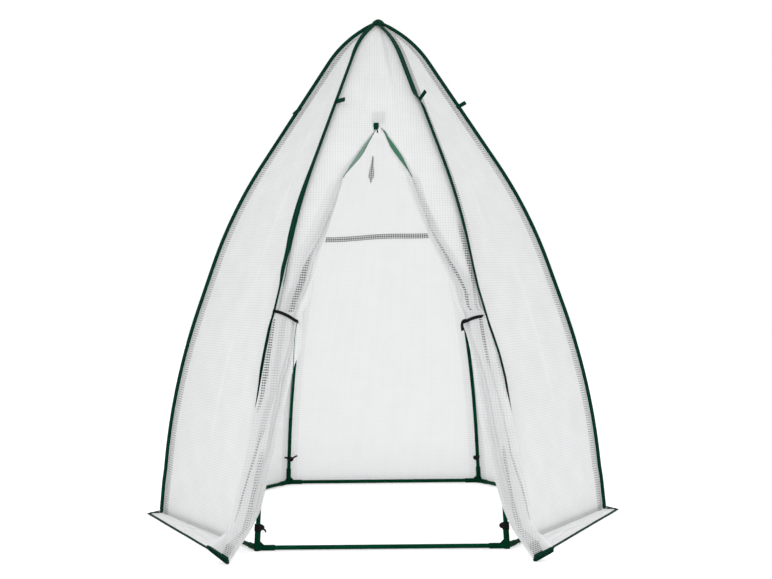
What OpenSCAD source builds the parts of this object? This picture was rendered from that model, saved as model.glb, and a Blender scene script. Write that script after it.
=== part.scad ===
// Walk-in greenhouse tent on a six-sided ground ring: six bent tube poles meet at a crown under a
// pointed film cover, whose front is split by a zip and tied back as a door.
// Millimetres, +Z up. The origin is on the floor, on the axis of the ring, and the door faces -Y.

/* [Frame] */
// Distance from the axis to the middle of each corner of the ground ring
base_radius = 885; // [740:5:1065]
// Outside diameter of the frame tubes
tube_d = 16; // [13:0.1:19.2]
// Wall of a connector socket
socket_wall = 2.3; // [1.8:0.1:3]
// Clearance between a tube and its socket, all round
socket_fit = 0.2; // [0.1:0.05:0.4]
// Reach of a corner connector's socket, from the middle of the corner
socket_length = 63; // [50:1:76]
// Solid core of a corner connector, from its middle to the end of each tube
core_length = 14; // [11:1:18]
// Length of each side of the web between two sockets
web_length = 34; // [24:1:40]
// Thickness of that web
web_t = 4; // [3:0.5:6]
// How much slimmer a level socket is than the upright one, in radius
level_slimmer = 0.4; // [0.3:0.1:0.8]

/* [Pole] */
// Lean of a pole at its foot, from upright
foot_lean = 5.5; // [4:0.5:7]
// Length of the straight foot of a pole
foot_length = 190; // [180:5:260]
// Radius of the long bend above the foot
side_bend_radius = 2680; // [2200:20:3200]
// Lean of the straight side
side_lean = 19.5; // [17:0.5:22]
// Length of the straight side
side_length = 185; // [150:1:370]
// Radius of the shoulder bend
shoulder_bend_radius = 1815; // [1500:15:2190]
// Lean of the straight roof
roof_lean = 33.7; // [31:0.1:36]
// Radius of the bend below the crown
top_bend_radius = 420; // [350:10:510]
// Lean of a pole where it enters the crown
crown_lean = 58; // [54:1:62]
// Length of a crown socket
crown_socket_length = 35; // [28:1:44]
// Floor of a crown socket, under the pole's end
crown_floor = 3.6; // [2:0.2:6]
// Thickness of the crown's plate, measured upright
crown_plate_t = 15; // [10:1:17]
// How much a coupling between two lengths of pole stands out, in radius
coupling_swell = 0.2; // [0.15:0.05:0.3]
// Length of a coupling
coupling_length = 16; // [10:1:20]

/* [Cover] */
// Thickness of a film panel
film_t = 2; // [1:0.5:3]
// Clearance between the cover and the frame inside it
cover_gap = 0.6; // [0.5:0.1:1]
// Clearance between flat layers that lie on one another
layer_gap = 0.3; // [0.2:0.05:0.5]
// Width of the binding tape over a seam
binding_w = 18; // [12:1:26]
// Thickness of the binding tape
binding_t = 1.5; // [1:0.25:2.5]
// Width of the ground flap at the sides and the back
flap_w = 60; // [50:5:120]
// Width of the ground flap at the two front corners
flap_front_w = 150; // [100:5:180]
// Thickness of the ground flap
flap_t = 2; // [1.5:0.5:3]
// Width of the bound hem of the ground flap
hem_w = 12; // [8:1:18]
// Thickness of that hem
hem_t = 3; // [2:0.5:4]

/* [Door] */
// Height of the top of the zip
zip_top = 1545; // [1300:5:1600]
// Height of the two tie-back straps
strap_height = 833; // [700:1:1000]
// Distance from the middle of the doorway to its edge at the straps
strap_edge = 306; // [260:2:312]
// How far the left edge of the doorway bows outwards
left_edge_bow = 27; // [0:1:35]
// How far the right edge of the doorway bows outwards
right_edge_bow = 4; // [0:1:35]
// Width of one half of the zip
zip_w = 14; // [8:1:20]
// Thickness of one half of the zip
zip_t = 1.2; // [0.8:0.1:2]
// Width of a gathered flap inside its strap
bundle_w = 44; // [34:1:46]
// Depth of a gathered flap inside its strap
bundle_depth = 30; // [22:1:40]
// Width of a tie-back strap
strap_w = 12; // [8:1:16]
// Thickness of a tie-back strap
strap_t = 1.5; // [1:0.25:2.5]
// Slope of a tie-back strap
strap_tilt = 20; // [0:1:25]
// Length of the free end of a tie-back strap
strap_end = 26; // [14:1:30]

/* [Fittings] */
// Distance of the guy loops up the straight roof
loop_place = 300; // [100:10:400]
// Length of a guy loop
loop_length = 52; // [30:1:80]
// Width of a guy loop
loop_w = 16; // [10:1:24]
// Thickness of a guy loop
loop_t = 3; // [2:0.5:4]
// Distance of the pole ties above the middle of the ground ring
tie_place = 92; // [84:1:96]
// Height of a pole tie
tie_h = 10; // [6:1:12]
// Height of the lap seam across the back panel
lap_height = 1130; // [900:10:1400]
// Width of that lap seam
lap_w = 16; // [10:1:24]
// Height of the foot of the hanging tab on the back panel
tab_height = 1370; // [1200:10:1450]
// Length of the hanging tab
tab_length = 110; // [60:5:130]
// Width of the hanging tab at its foot
tab_w = 20; // [12:1:30]

/* [Hidden] */
CORNERS = ["right", "back_right", "back_left", "left", "front_left", "front_right"];
PANELS = ["back_right", "back", "back_left", "front_left", "front", "front_right"];
FRONT = 4; // place of the door's panel in PANELS

FRAME_GREEN = [0.02, 0.25, 0.16];
TAPE_GREEN = [0.0, 0.29, 0.19];
FILM_WHITE = [0.92, 0.93, 0.93];
LAP_GREY = [0.72, 0.74, 0.74];
STRAP_BLACK = [0.08, 0.08, 0.08];
$fn = 48;
BEND_FN = 200; // sides of a full turn of a bend

// The ring and its sockets
tube_r = tube_d / 2;
bore_r = tube_r + socket_fit;
socket_r = bore_r + socket_wall;
ring_z = socket_r; // the sockets rest on the floor
apothem = base_radius * cos(30);

// The pole's middle line, as [distance from the axis, height], from its foot to its top
function go_straight(p, lean, length) = p + length * [-sin(lean), cos(lean)];
function go_bend(p, from, to, radius) = p + radius * [cos(to) - cos(from), sin(to) - sin(from)];

foot_start = [base_radius, ring_z];
foot_end = go_straight(foot_start, foot_lean, foot_length);
side_start = go_bend(foot_end, foot_lean, side_lean, side_bend_radius);
side_end = go_straight(side_start, side_lean, side_length);
roof_start = go_bend(side_end, side_lean, roof_lean, shoulder_bend_radius);
crown_root = 2 * socket_r + 1; // where the crown's sockets have just parted from each other
crown_end = crown_root + crown_floor; // distance of a pole's top end from the axis
coupling_gap = 1; // between the ends of two lengths of tube, inside their coupling
crown_straight = crown_socket_length + coupling_length / 2 + 2;
roof_run = roof_start[0] - crown_end - crown_straight * sin(crown_lean)
    - top_bend_radius * (cos(roof_lean) - cos(crown_lean));
roof_length = roof_run / sin(roof_lean);
roof_end = go_straight(roof_start, roof_lean, roof_length);
top_start = go_bend(roof_end, roof_lean, crown_lean, top_bend_radius);
top_end = go_straight(top_start, crown_lean, crown_straight);
crown_z = top_end[1] + crown_end / tan(crown_lean); // where the crown's sockets meet

// Stations along the pole's middle line, as [distance, height, lean, clearance of the cover]
over_tube = tube_r + cover_gap;
over_socket = socket_r + cover_gap;
below_floor = 20;
foot_clear = max(socket_length + 10, tie_place + tie_h + 6); // the cover stands off up to here
foot_close = foot_clear + 60;
BEND_STEPS = 10;
function station(p, lean, clearance) = [p[0], p[1], lean, clearance];
function foot_station(s, clearance) =
    station(go_straight(foot_start, foot_lean, s), foot_lean, clearance);
function bend_stations(p, from, to, radius, first, last) = [
    for (k = [1:BEND_STEPS])
        let (lean = from + (to - from) * k / BEND_STEPS)
            station(go_bend(p, from, lean, radius), lean, first + (last - first) * k / BEND_STEPS)
];
STATIONS = concat(
    [foot_station(-below_floor, over_socket), foot_station(foot_clear, over_socket)],
    [foot_station(foot_close, over_tube), foot_station(foot_length, over_tube)],
    bend_stations(foot_end, foot_lean, side_lean, side_bend_radius, over_tube, over_tube),
    [station(side_end, side_lean, over_tube)],
    bend_stations(side_end, side_lean, roof_lean, shoulder_bend_radius, over_tube, over_tube),
    [station(roof_end, roof_lean, over_tube)],
    bend_stations(roof_end, roof_lean, crown_lean, top_bend_radius, over_tube, over_socket),
    [station(go_straight(top_end, crown_lean, 2 * crown_end / sin(crown_lean)),
             crown_lean, over_socket)]);

// A panel is flat from pole to pole, so its section in the plane of its own middle is the pole's
// line brought in to the panel's middle and moved out, square to itself, by the clearance.
function panel_point(s, out) =
    let (square = [cos(s[2]), sin(s[2]) * cos(30)])
        [s[0] * cos(30), s[1]] + (s[3] + out) * square / norm(square);
function panel_section(inner, outer) = concat(
    [for (s = STATIONS) panel_point(s, inner)],
    [for (k = [len(STATIONS) - 1:-1:0]) panel_point(STATIONS[k], outer)]);
function panel_x(z, out) =
    lookup(z, [for (s = STATIONS) let (p = panel_point(s, out)) [p[1], p[0]]]);

binding_in = film_t + layer_gap;
binding_out = binding_in + binding_t;
reach = base_radius + flap_front_w + 100; // past everything, sideways
top_z = crown_z + 100; // past everything, upwards
foot_x = panel_x(flap_t, 0); // inner face of a panel at its foot

// The edge of the doorway, from the top of the zip at 0 to the strap at 1
EDGE_STEPS = 12;
EDGE_PEAK = 27 / 4; // brings the largest value of t * t * (1 - t) to 1
function edge_point(t, bow) =
    [strap_edge * t + bow * EDGE_PEAK * t * t * (1 - t), zip_top - (zip_top - strap_height) * t];
bundle_top = strap_height + 40;
bundle_foot = strap_height - 40;
bundle_y = strap_edge + bundle_w / 2 + 2; // middle of a gathered flap, from the doorway's middle

// ---- helpers -------------------------------------------------------------------------------

// Turns what is drawn along +X to corner i of the ring
module at_corner(i) {
    rotate([0, 0, 60 * i]) children();
}

// Turns what is drawn along +X to the middle of panel i
module at_panel(i) {
    rotate([0, 0, 60 * i + 30]) children();
}

// A layer of the cover over one panel, from inner to outer, measured from the film's inner face
module layer(inner, outer) {
    rotate([90, 0, 0])
        linear_extrude(height = 2 * reach, center = true)
            polygon(panel_section(inner, outer));
}

// A sixth of the plan about +X, from one seam or panel middle to the next
module sixth(z_low, z_high) {
    translate([0, 0, z_low])
        linear_extrude(height = z_high - z_low)
            polygon([[0, 0], [reach, -reach * tan(30)], [reach, reach * tan(30)]]);
}

// Keeps what lies in front of an outline drawn in Y and Z
module outline_cut(points) {
    rotate([90, 0, 90])
        linear_extrude(height = reach)
            polygon(points);
}

// A long round-ended block, standing on the XY plane
module stadium(w, depth, h) {
    straight = max(w - depth, 0.01);
    translate([-straight / 2, -depth / 2, 0]) cube([straight, depth, h]);
    for (side = [-1, 1]) translate([side * straight / 2, 0, 0]) cylinder(h = h, d = depth);
}

// ---- frame ---------------------------------------------------------------------------------

module base_tube(i) {
    color(FRAME_GREEN)
        at_panel(i)
            translate([apothem, 0, ring_z])
                rotate([90, 0, 0])
                    cylinder(h = base_radius - 2 * core_length, r = tube_r, center = true);
}

// Points +Z along each of a corner's two level sockets
module each_level_socket() {
    for (side = [-1, 1]) rotate([0, 0, side * 120]) rotate([0, 90, 0]) children();
}

// The upright socket runs down to a flat foot on the floor
module upright_socket() {
    intersection() {
        rotate([0, -foot_lean, 0])
            translate([0, 0, -2 * ring_z])
                cylinder(h = socket_length + 2 * ring_z, r = socket_r);
        translate([-2 * socket_length, -socket_length, -ring_z])
            cube([4 * socket_length, 2 * socket_length, 2 * socket_length]);
    }
}

module corner_joint(i) {
    color(FRAME_GREEN)
        at_corner(i)
            translate([base_radius, 0, ring_z])
                difference() {
                    union() {
                        upright_socket();
                        each_level_socket()
                            cylinder(h = socket_length, r = socket_r - level_slimmer);
                        for (side = [-1, 1])
                            rotate([0, 0, side * 120])
                                rotate([90, 0, 0])
                                    linear_extrude(height = web_t, center = true)
                                        polygon([[0, 0], [web_length, 0], [0, web_length]]);
                    }
                    rotate([0, -foot_lean, 0])
                        translate([0, 0, core_length]) cylinder(h = socket_length, r = bore_r);
                    each_level_socket()
                        translate([0, 0, core_length]) cylinder(h = socket_length, r = bore_r);
                }
}

// A straight length of tube in the plane of a corner, from point p, short of its couplings by
// start and end
module straight_tube(p, lean, length, start = coupling_gap, end = coupling_gap) {
    translate([p[0], 0, p[1]])
        rotate([0, -lean, 0])
            translate([0, 0, start])
                cylinder(h = length - start - end, r = tube_r);
}

// A bent length of tube in the plane of a corner, from point p
module bent_tube(p, from, to, radius) {
    short = coupling_gap / radius * 180 / PI; // the coupling's gap as an angle
    translate([p[0] - radius * cos(from), 0, p[1] - radius * sin(from)])
        rotate([90, 0, 0])
            rotate([0, 0, from + short])
                rotate_extrude(angle = to - from - 2 * short, $fn = BEND_FN)
                    translate([radius, 0]) circle(r = tube_r, $fn = 48);
}

module coupling(p, lean) {
    translate([p[0], 0, p[1]])
        rotate([0, -lean, 0])
            cylinder(h = coupling_length, r = tube_r + coupling_swell, center = true);
}

module pole(i) {
    color(FRAME_GREEN)
        at_corner(i) {
            straight_tube(foot_start, foot_lean, foot_length, core_length);
            coupling(foot_end, foot_lean);
            bent_tube(foot_end, foot_lean, side_lean, side_bend_radius);
            coupling(side_start, side_lean);
            straight_tube(side_start, side_lean, side_length);
            coupling(side_end, side_lean);
            bent_tube(side_end, side_lean, roof_lean, shoulder_bend_radius);
            coupling(roof_start, roof_lean);
            straight_tube(roof_start, roof_lean, roof_length);
            coupling(roof_end, roof_lean);
            bent_tube(roof_end, roof_lean, crown_lean, top_bend_radius);
            coupling(top_start, crown_lean);
            straight_tube(top_start, crown_lean, crown_straight, coupling_gap, 0);
        }
}

// Points +Z along each of the crown's six sockets, from where they would meet
module each_crown_socket() {
    for (i = [0:5]) at_corner(i) rotate([0, 180 - crown_lean, 0]) children();
}

module crown_hub() {
    root = crown_root / sin(crown_lean);
    bottom = crown_end / sin(crown_lean);
    rim = crown_root + 8; // radius of the plate that joins the sockets
    flat = socket_r / 2; // radius of the level middle of the plate
    low = rim / tan(crown_lean);
    high = flat / tan(crown_lean);
    half = crown_plate_t / 2;
    color(FRAME_GREEN)
        translate([0, 0, crown_z])
            difference() {
                union() {
                    rotate_extrude()
                        polygon([
                            [0, -half - high], [flat, -half - high], [rim, -half - low],
                            [rim, half - low], [flat, half - high], [0, half - high]
                        ]);
                    each_crown_socket()
                        translate([0, 0, root])
                            cylinder(h = bottom - root + crown_socket_length, r = socket_r);
                }
                each_crown_socket()
                    translate([0, 0, bottom])
                        cylinder(h = 2 * crown_socket_length, r = bore_r);
            }
}

// ---- cover ---------------------------------------------------------------------------------

module wall(i) {
    color(FILM_WHITE)
        at_panel(i)
            intersection() {
                layer(0, film_t);
                sixth(i == FRONT ? zip_top : flap_t, top_z);
            }
}

// The binding of every seam but the two beside the door runs on along the ground flap
module binding_tail() {
    start = (panel_x(flap_t, binding_in) + binding_t / 2) / cos(30);
    end = (foot_x + flap_w - hem_w) / cos(30) - binding_w / 2 * tan(30) - layer_gap;
    translate([start, -binding_w / 2, flap_t + layer_gap])
        cube([end - start, binding_w, binding_t]);
}

module seam_binding(i) {
    half = binding_w / 2;
    color(TAPE_GREEN)
        at_corner(i) {
            for (side = [0, 1])
                mirror([0, side, 0])
                    intersection() {
                        rotate([0, 0, 30]) layer(binding_in, binding_out);
                        translate([0, 0, flap_t])
                            linear_extrude(height = top_z)
                                polygon([[0, 0], [reach, 0], [reach, half], [half / tan(30), half]]);
                    }
            if (i != FRONT && i != FRONT + 1) binding_tail();
        }
}

// Corners of the ground flap, from the front right round the back to the front left, at the
// given widths from the foot of the panels
function flap_corners(side_width, front_width) = [
    for (k = [0:5])
        let (width = (k == 0 || k == 5) ? front_width : side_width, turn = 60 * k - 60)
            (foot_x + width) / cos(30) * [cos(turn), sin(turn)]
];
function flap_outline(inner, outer) = concat(outer, [for (k = [5:-1:0]) inner[k]]);
flap_inner = flap_corners(0, 0);
flap_edge = flap_corners(flap_w - hem_w, flap_front_w - hem_w);
hem_edge = flap_corners(flap_w, flap_front_w);

module ground_flap() {
    color(FILM_WHITE)
        linear_extrude(height = flap_t)
            polygon(flap_outline(flap_inner, flap_edge));
}

module hem_binding() {
    color(TAPE_GREEN)
        linear_extrude(height = hem_t)
            polygon(flap_outline(flap_edge, hem_edge));
}

module rear_lap_seam() {
    half = panel_x(lap_height, 0) * tan(30) - binding_w;
    low = lap_height - lap_w / 2;
    color(LAP_GREY)
        at_panel(1)
            intersection() {
                layer(binding_in, binding_in + 1);
                outline_cut([[-half, low], [half, low], [half, low + lap_w], [-half, low + lap_w]]);
            }
}

module rear_tab() {
    top = tab_height + tab_length;
    color(LAP_GREY)
        at_panel(1)
            intersection() {
                layer(-layer_gap - 1, -layer_gap);
                outline_cut([[-tab_w / 2, tab_height], [tab_w / 2, tab_height],
                             [tab_w / 6, top], [-tab_w / 6, top]]);
            }
}

// ---- door ----------------------------------------------------------------------------------

// Places what is drawn for the right half of the door, or mirrors it to the left
module door_side(side) {
    at_panel(FRONT)
        mirror([0, side < 0 ? 1 : 0, 0]) children();
}
function edge_bow(side) = side < 0 ? left_edge_bow : right_edge_bow;

// One row of a hanging flap: [height, distance of its middle from the doorway's middle, width,
// stand-off from the cover's face, depth]
flap_rows = [
    [bundle_top, bundle_y, bundle_w, -bundle_depth / 2, bundle_depth],
    [bundle_foot, bundle_y, bundle_w, -bundle_depth / 2, bundle_depth],
    [640, 362, 66, 9, 34],
    [440, 402, 92, 9, 44],
    [220, 436, 112, 10, 54],
    [80, 466, 108, 44, 60],
    [0, 488, 84, 142, 66]
];

module flap_row(row) {
    t = 1; // thickness of a row's slice
    translate([panel_x(row[0], binding_out) + row[3] + row[4] / 2, row[1], row[0]])
        rotate([0, 0, 90])
            stadium(row[2], row[4], t, $fn = 24);
}

module door_flap(side) {
    edge = [for (k = [0:EDGE_STEPS]) edge_point(k / EDGE_STEPS, edge_bow(side))];
    low = strap_height + strap_w / 2 + 20; // the flat part ends above the strap
    color(FILM_WHITE)
        door_side(side) {
            intersection() {
                layer(0, film_t);
                sixth(low, zip_top);
                outline_cut(concat(edge, [[reach, strap_height], [reach, zip_top]]));
            }
            for (k = [0:len(flap_rows) - 2])
                hull() {
                    flap_row(flap_rows[k]);
                    flap_row(flap_rows[k + 1]);
                }
        }
}

module zip_tapes() {
    color(TAPE_GREEN)
        for (side = [-1, 1]) {
            edge = [for (k = [1:EDGE_STEPS - 1]) edge_point(k / EDGE_STEPS, edge_bow(side))];
            door_side(side)
                intersection() {
                    layer(-layer_gap - zip_t, -layer_gap);
                    outline_cut(concat(edge, [for (k = [len(edge) - 1:-1:0]) edge[k] + [zip_w, 0]]));
                }
        }
}

module zip_stop() {
    color(TAPE_GREEN)
        at_panel(FRONT)
            intersection() {
                layer(binding_in, binding_out);
                outline_cut([[-10, zip_top - 6], [10, zip_top - 6],
                             [10, zip_top + 24], [-10, zip_top + 24]]);
            }
}

module zip_patch() {
    color(LAP_GREY)
        at_panel(FRONT)
            intersection() {
                layer(-layer_gap - 1, -layer_gap);
                outline_cut([[-34, zip_top + 6], [34, zip_top + 6],
                             [34, zip_top + 56], [-34, zip_top + 56]]);
            }
}

// A strap is sewn to the seam, runs round the gathered flap, square to it, and its free end hangs
// down beside the doorway
module tie_strap(side) {
    top_x = panel_x(bundle_top, binding_out);
    low_x = panel_x(bundle_foot, binding_out);
    flap_lean = atan2(low_x - top_x, bundle_top - bundle_foot);
    inner_w = (bundle_w + strap_w * sin(strap_tilt)) / cos(strap_tilt) + 2 * layer_gap;
    inner_depth = bundle_depth * cos(flap_lean) + 2 * layer_gap;
    to_seam = (panel_x(strap_height, 0) * tan(30) - bundle_y) / cos(strap_tilt);
    face = -inner_depth / 2 - strap_t;
    color(STRAP_BLACK)
        door_side(side)
            translate([(top_x + low_x) / 2, bundle_y, strap_height])
                rotate([0, -flap_lean, 0])
                    rotate([0, 0, 90])
                        rotate([0, -strap_tilt, 0])
                            translate([0, 0, -strap_w / 2]) {
                                difference() {
                                    stadium(inner_w + 2 * strap_t, inner_depth + 2 * strap_t,
                                            strap_w);
                                    translate([0, 0, -1])
                                        stadium(inner_w, inner_depth, strap_w + 2);
                                }
                                translate([0, face, 0]) cube([to_seam, strap_t, strap_w]);
                                translate([-inner_w / 2, face, strap_w - strap_end])
                                    cube([strap_w, strap_t, strap_end]);
                            }
}

// ---- fittings ------------------------------------------------------------------------------

// How each guy loop lies on its seam, turned from straight out: [up or down, sideways]
loop_turns = [[35, 10], [20, -15], [20, 15], [-50, -10], [10, 60], [35, 20]];

// How far a loop's root stands off its seam, so that its nearest corner clears the binding
function loop_seat(turn) = layer_gap
    + loop_t / 2 * abs(sin(roof_lean - turn[0]))
    + max(0, loop_w / 2 * (sin(abs(turn[1])) - cos(turn[1]) * tan(30))) * cos(roof_lean);

module guy_loops() {
    square = norm([cos(roof_lean), sin(roof_lean) * cos(30)]) / cos(30);
    seam = go_straight(roof_start, roof_lean, loop_place);
    color(TAPE_GREEN)
        for (i = [0:5]) {
            turn = loop_turns[i];
            out = (over_tube + binding_out) * square + loop_seat(turn);
            p = seam + out * [cos(roof_lean), sin(roof_lean)];
            at_corner(i)
                translate([p[0], 0, p[1]])
                    rotate([0, 0, turn[1]])
                        rotate([0, -turn[0], 0])
                            translate([0, -loop_w / 2, -loop_t / 2])
                                cube([loop_length, loop_w, loop_t]);
        }
}

module pole_ties() {
    p = go_straight(foot_start, foot_lean, tie_place);
    color(STRAP_BLACK)
        for (i = [0:5])
            at_corner(i)
                translate([p[0], 0, p[1]])
                    rotate([0, -foot_lean, 0])
                        difference() {
                            cylinder(h = tie_h, r = socket_r - layer_gap);
                            translate([0, 0, -1]) cylinder(h = tie_h + 2, r = tube_r + layer_gap);
                        }
}

// ---- nodes ---------------------------------------------------------------------------------

for (i = [0:5]) {
    corner_joint(i);
    base_tube(i);
    pole(i);
    wall(i);
    seam_binding(i);
}
crown_hub();
ground_flap();
hem_binding();
door_flap(-1);  // door_flap_left
door_flap(1);  // door_flap_right
tie_strap(-1);  // tie_strap_left
tie_strap(1);  // tie_strap_right
zip_tapes();
zip_stop();
zip_patch();
guy_loops();
pole_ties();
rear_lap_seam();
rear_tab();
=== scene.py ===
# %% [markdown]
# # A six-sided greenhouse tent
# The tent is a frame of green steel tube with a white film cover pulled over it. The tubes and
# their sockets are hard parts whose shape is already exact, so they only need a finish here. The
# cover is all soft goods: six tapered film panels, bound seams, a zip, straps and loops. Those are
# made below, one kind of thing at a time, in metres, with the floor at height nought.
# %% Load the frame
import math

import bmesh
import bpy
import numpy as np
from mathutils import Matrix, Vector, noise


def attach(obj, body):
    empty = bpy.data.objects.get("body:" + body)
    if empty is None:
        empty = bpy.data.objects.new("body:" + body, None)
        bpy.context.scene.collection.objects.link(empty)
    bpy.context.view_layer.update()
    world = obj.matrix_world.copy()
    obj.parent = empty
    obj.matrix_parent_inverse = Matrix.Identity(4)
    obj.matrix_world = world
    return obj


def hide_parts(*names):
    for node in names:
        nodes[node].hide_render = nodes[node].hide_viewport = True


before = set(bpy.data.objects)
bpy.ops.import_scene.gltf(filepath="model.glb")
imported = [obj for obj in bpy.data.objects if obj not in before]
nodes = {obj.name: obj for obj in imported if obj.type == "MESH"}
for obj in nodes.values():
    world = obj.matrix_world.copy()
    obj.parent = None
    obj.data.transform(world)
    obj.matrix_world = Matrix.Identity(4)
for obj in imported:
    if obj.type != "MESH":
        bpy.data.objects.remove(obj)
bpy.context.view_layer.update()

# %% [markdown]
# ## The sizes that everything is fitted to
# Soft goods follow the frame under them, so the first thing to settle is where the frame is. A
# few sizes say it all: how far out the poles stand, how thick they are, and which way each corner
# and each panel faces. Angles are turned anticlockwise from the right-hand corner, and the door
# faces forwards, which is 270 degrees.
# %% Sizes of the tent
RING = 0.885  # from the axis to the middle of a corner of the ground ring
TUBE = 0.008  # radius of a tube
SOCKET = 0.0105  # radius of a socket, which rests on the floor
GAP = 0.0006  # between the cover and the frame
FOOT = 0.002  # height at which a wall of film turns into the strip on the floor
LEAN = math.radians(5.5)  # of a pole at its foot
CORNERS = dict(right=0, back_right=60, back_left=120, left=180, front_left=240, front_right=300)
PANELS = dict(back_right=30, back=90, back_left=150, front_left=210, front=270, front_right=330)
HANDS = {-1: "left", 1: "right"}  # the two halves of the door
TAN30, COS30 = math.tan(math.pi / 6), math.cos(math.pi / 6)
print("ring", round(2 * RING, 3), "m across its corners")

# %% [markdown]
# ## Walking up a pole
# Each pole is straight lengths and bends. The film lies flat from pole to pole, so its section
# in the middle of a panel is the pole's own line drawn in towards the axis and moved out by the
# pole's radius. It could be read off the hard parts, but a short walk that repeats the bends
# gives points, leans and clearances at once, and they can be asked for at any length.
# %% Stations of the cover
def walk_pole():
    """Stations up a pole: distance from the axis, height, lean, and the cover's clearance."""
    tube, socket = TUBE + GAP, SOCKET + GAP
    x, z, lean, below = RING, SOCKET, LEAN, 0.02
    stops = [(x + below * math.sin(lean), z - below * math.cos(lean), lean, socket)]

    def go(length, clear=tube):
        nonlocal x, z
        x, z = x - length * math.sin(lean), z + length * math.cos(lean)
        stops.append((x, z, lean, clear))

    def bend(to, radius, clear=tube, steps=14):
        nonlocal x, z, lean
        first, turn = stops[-1][3], (math.radians(to) - lean) / steps
        for k in range(1, steps + 1):
            x += radius * (math.cos(lean + turn) - math.cos(lean))
            z += radius * (math.sin(lean + turn) - math.sin(lean))
            lean += turn
            stops.append((x, z, lean, first + (clear - first) * k / steps))

    go(0.118, socket), go(0.06), go(0.012)
    bend(19.5, 2.68), go(0.185), bend(33.7, 1.815)
    steep, radius, arm, root = 58, 0.42, 0.045, 0.0256  # the last bend and the crown's socket
    sine, cosine = math.sin(math.radians(steep)), math.cos(math.radians(steep))
    go((x - root - arm * sine - radius * (math.cos(lean) - cosine)) / math.sin(lean))
    bend(steep, radius, socket), go(arm + 2 * root / sine, socket)
    return stops


STOPS = walk_pole()
LINE = []  # the middle line of a panel: distance out, height, and the way out of the film
for x, z, lean, clear in STOPS:
    away = Vector((math.cos(lean), math.sin(lean) * COS30)).normalized()
    LINE.append((x * COS30 + clear * away.x, z + clear * away.y, away.x, away.y))
LINE = np.array(LINE)
ARC = np.concatenate([[0], np.cumsum(np.hypot(np.diff(LINE[:, 0]), np.diff(LINE[:, 1])))])
ARC -= np.interp(FOOT, LINE[:, 1], ARC)


def on_line(s, out=0.0):
    """Distance from the axis and height of a panel's middle line, s metres above its foot."""
    x, z, ax, az = (np.interp(s, ARC, LINE[:, k]) for k in range(4))
    return x + out * ax, z + out * az


def at_height(z, out=0.0):
    """How far up a panel's middle line, in metres, the height z lies."""
    return float(np.interp(z, LINE[:, 1] + out * LINE[:, 3], ARC))


def tip_of(out):
    """How far up a layer of the cover meets the axis."""
    return float(np.interp(0, -(LINE[:, 0] + out * LINE[:, 2]), ARC))


TIP = tip_of(0.001)
print("panel", round(TIP, 3), "m long,", round(2 * on_line(0)[0] * TAN30, 3), "m wide at its foot")

# %% [markdown]
# ## Film that is not quite flat
# A film cover is cut to fit its frame, yet between two poles it keeps soft folds from its box,
# and it ripples where it turns onto the ground. Cloth simulation would hang it, but it is held
# along every edge and barely moves, so smooth noise that dies away at the seams gives the same
# look exactly and at once. Everything that is sewn to a panel asks the same function, so it
# follows the same folds.
# %% Points of the cover
CREASES = {  # soft lines pressed into a panel: side, height at each end, how far they stand out
    "front_left": [(0.46, 1.36, 0.27, 0.93, 0.0032), (0.08, 0.75, -0.05, 0.35, 0.0014)],
    "front_right": [(-0.3, 1.42, -0.42, 1.12, 0.0024), (0.12, 1.0, 0.2, 0.5, 0.0014)],
    "front": [(-0.25, 1.8, -0.3, 1.58, 0.0015)],
    "back": [],
    "back_left": [(-0.3, 1.5, -0.1, 0.7, 0.002)],
    "back_right": [(0.25, 1.4, 0.1, 0.6, 0.002)],
}


def smooth(t):
    """A ramp from 0 to 1 that starts and ends gently."""
    t = min(max(t, 0.0), 1.0)
    return t * t * (3 - 2 * t)


def drift(*place):
    """Smooth noise, from about -1 to 1, that changes with place."""
    return noise.noise(Vector(place))


def on_crease(panel, side, z):
    """The nearest crease as (how close, from 0 to 1, and how far it stands out in metres)."""
    near, stands = 0.0, 0.0
    for top_side, top, low_side, low, height in CREASES[panel]:
        t = min(max((top - z) / (top - low), 0), 1)
        apart = abs(side - (top_side + (low_side - top_side) * t)) / 0.028
        ends = min(max(min(z - low, top - z) / 0.12 + 0.5, 0), 1)
        here = math.exp(-apart * apart) * ends
        stands += here * height
        near = max(near, here)
    return near, stands


def slack(panel, side, s):
    """How far the film stands off the flat between its two seams."""
    seed, z = PANELS[panel] * 0.37, on_line(s)[1]
    held = 1 - side * side
    broad = 0.007 * drift(1.5 * side + seed, 1.3 * s, seed)
    long = 0.0030 * drift(5.5 * side + seed, 1.1 * s, 2 * seed)
    ripple = 0.0022 + 0.0042 * math.sin(s / 0.0052 + 7 * drift(2.2 * side, 4 * s, seed))
    foot = min(s / 0.015, 1) * math.exp(-s / 0.06)
    dent = 0.0
    if panel == "front":  # a shallow fold beside the right-hand seam
        off = (side - 0.62 + 0.5 * (z - 1.6)) / 0.14
        dent = 0.011 * math.exp(-off ** 2) * smooth((z - 1.5) / 0.1)
    total = held * (broad + long + ripple * foot - dent - 0.003 + on_crease(panel, side, z)[1])
    total *= smooth((TIP - s) / 0.25)  # taut where the panel narrows
    return total if total > 0 else total * smooth((s - 0.04) / 0.15)  # not into the ground ring


PULLED = [  # height, and how far the left and the right front seam are pulled off their poles
    (0.0, 0.070, 0.068), (0.1, 0.050, 0.052), (0.2, 0.036, 0.046), (0.33, 0.031, 0.043),
    (0.475, 0.027, 0.042), (0.6, 0.025, 0.040), (0.684, 0.022, 0.032), (0.758, 0.019, 0.020),
    (0.80, 0.018, 0.013), (0.856, 0.013, 0.008), (0.92, 0.010, 0.002), (1.0, 0.006, 0.0),
    (1.08, 0.0, 0.0)]


def hand_of(name):
    """-1 for what is at the front left, 1 at the front right, and 0 elsewhere."""
    return {"front_left": -1, "front_right": 1}.get(name, 0)


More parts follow.
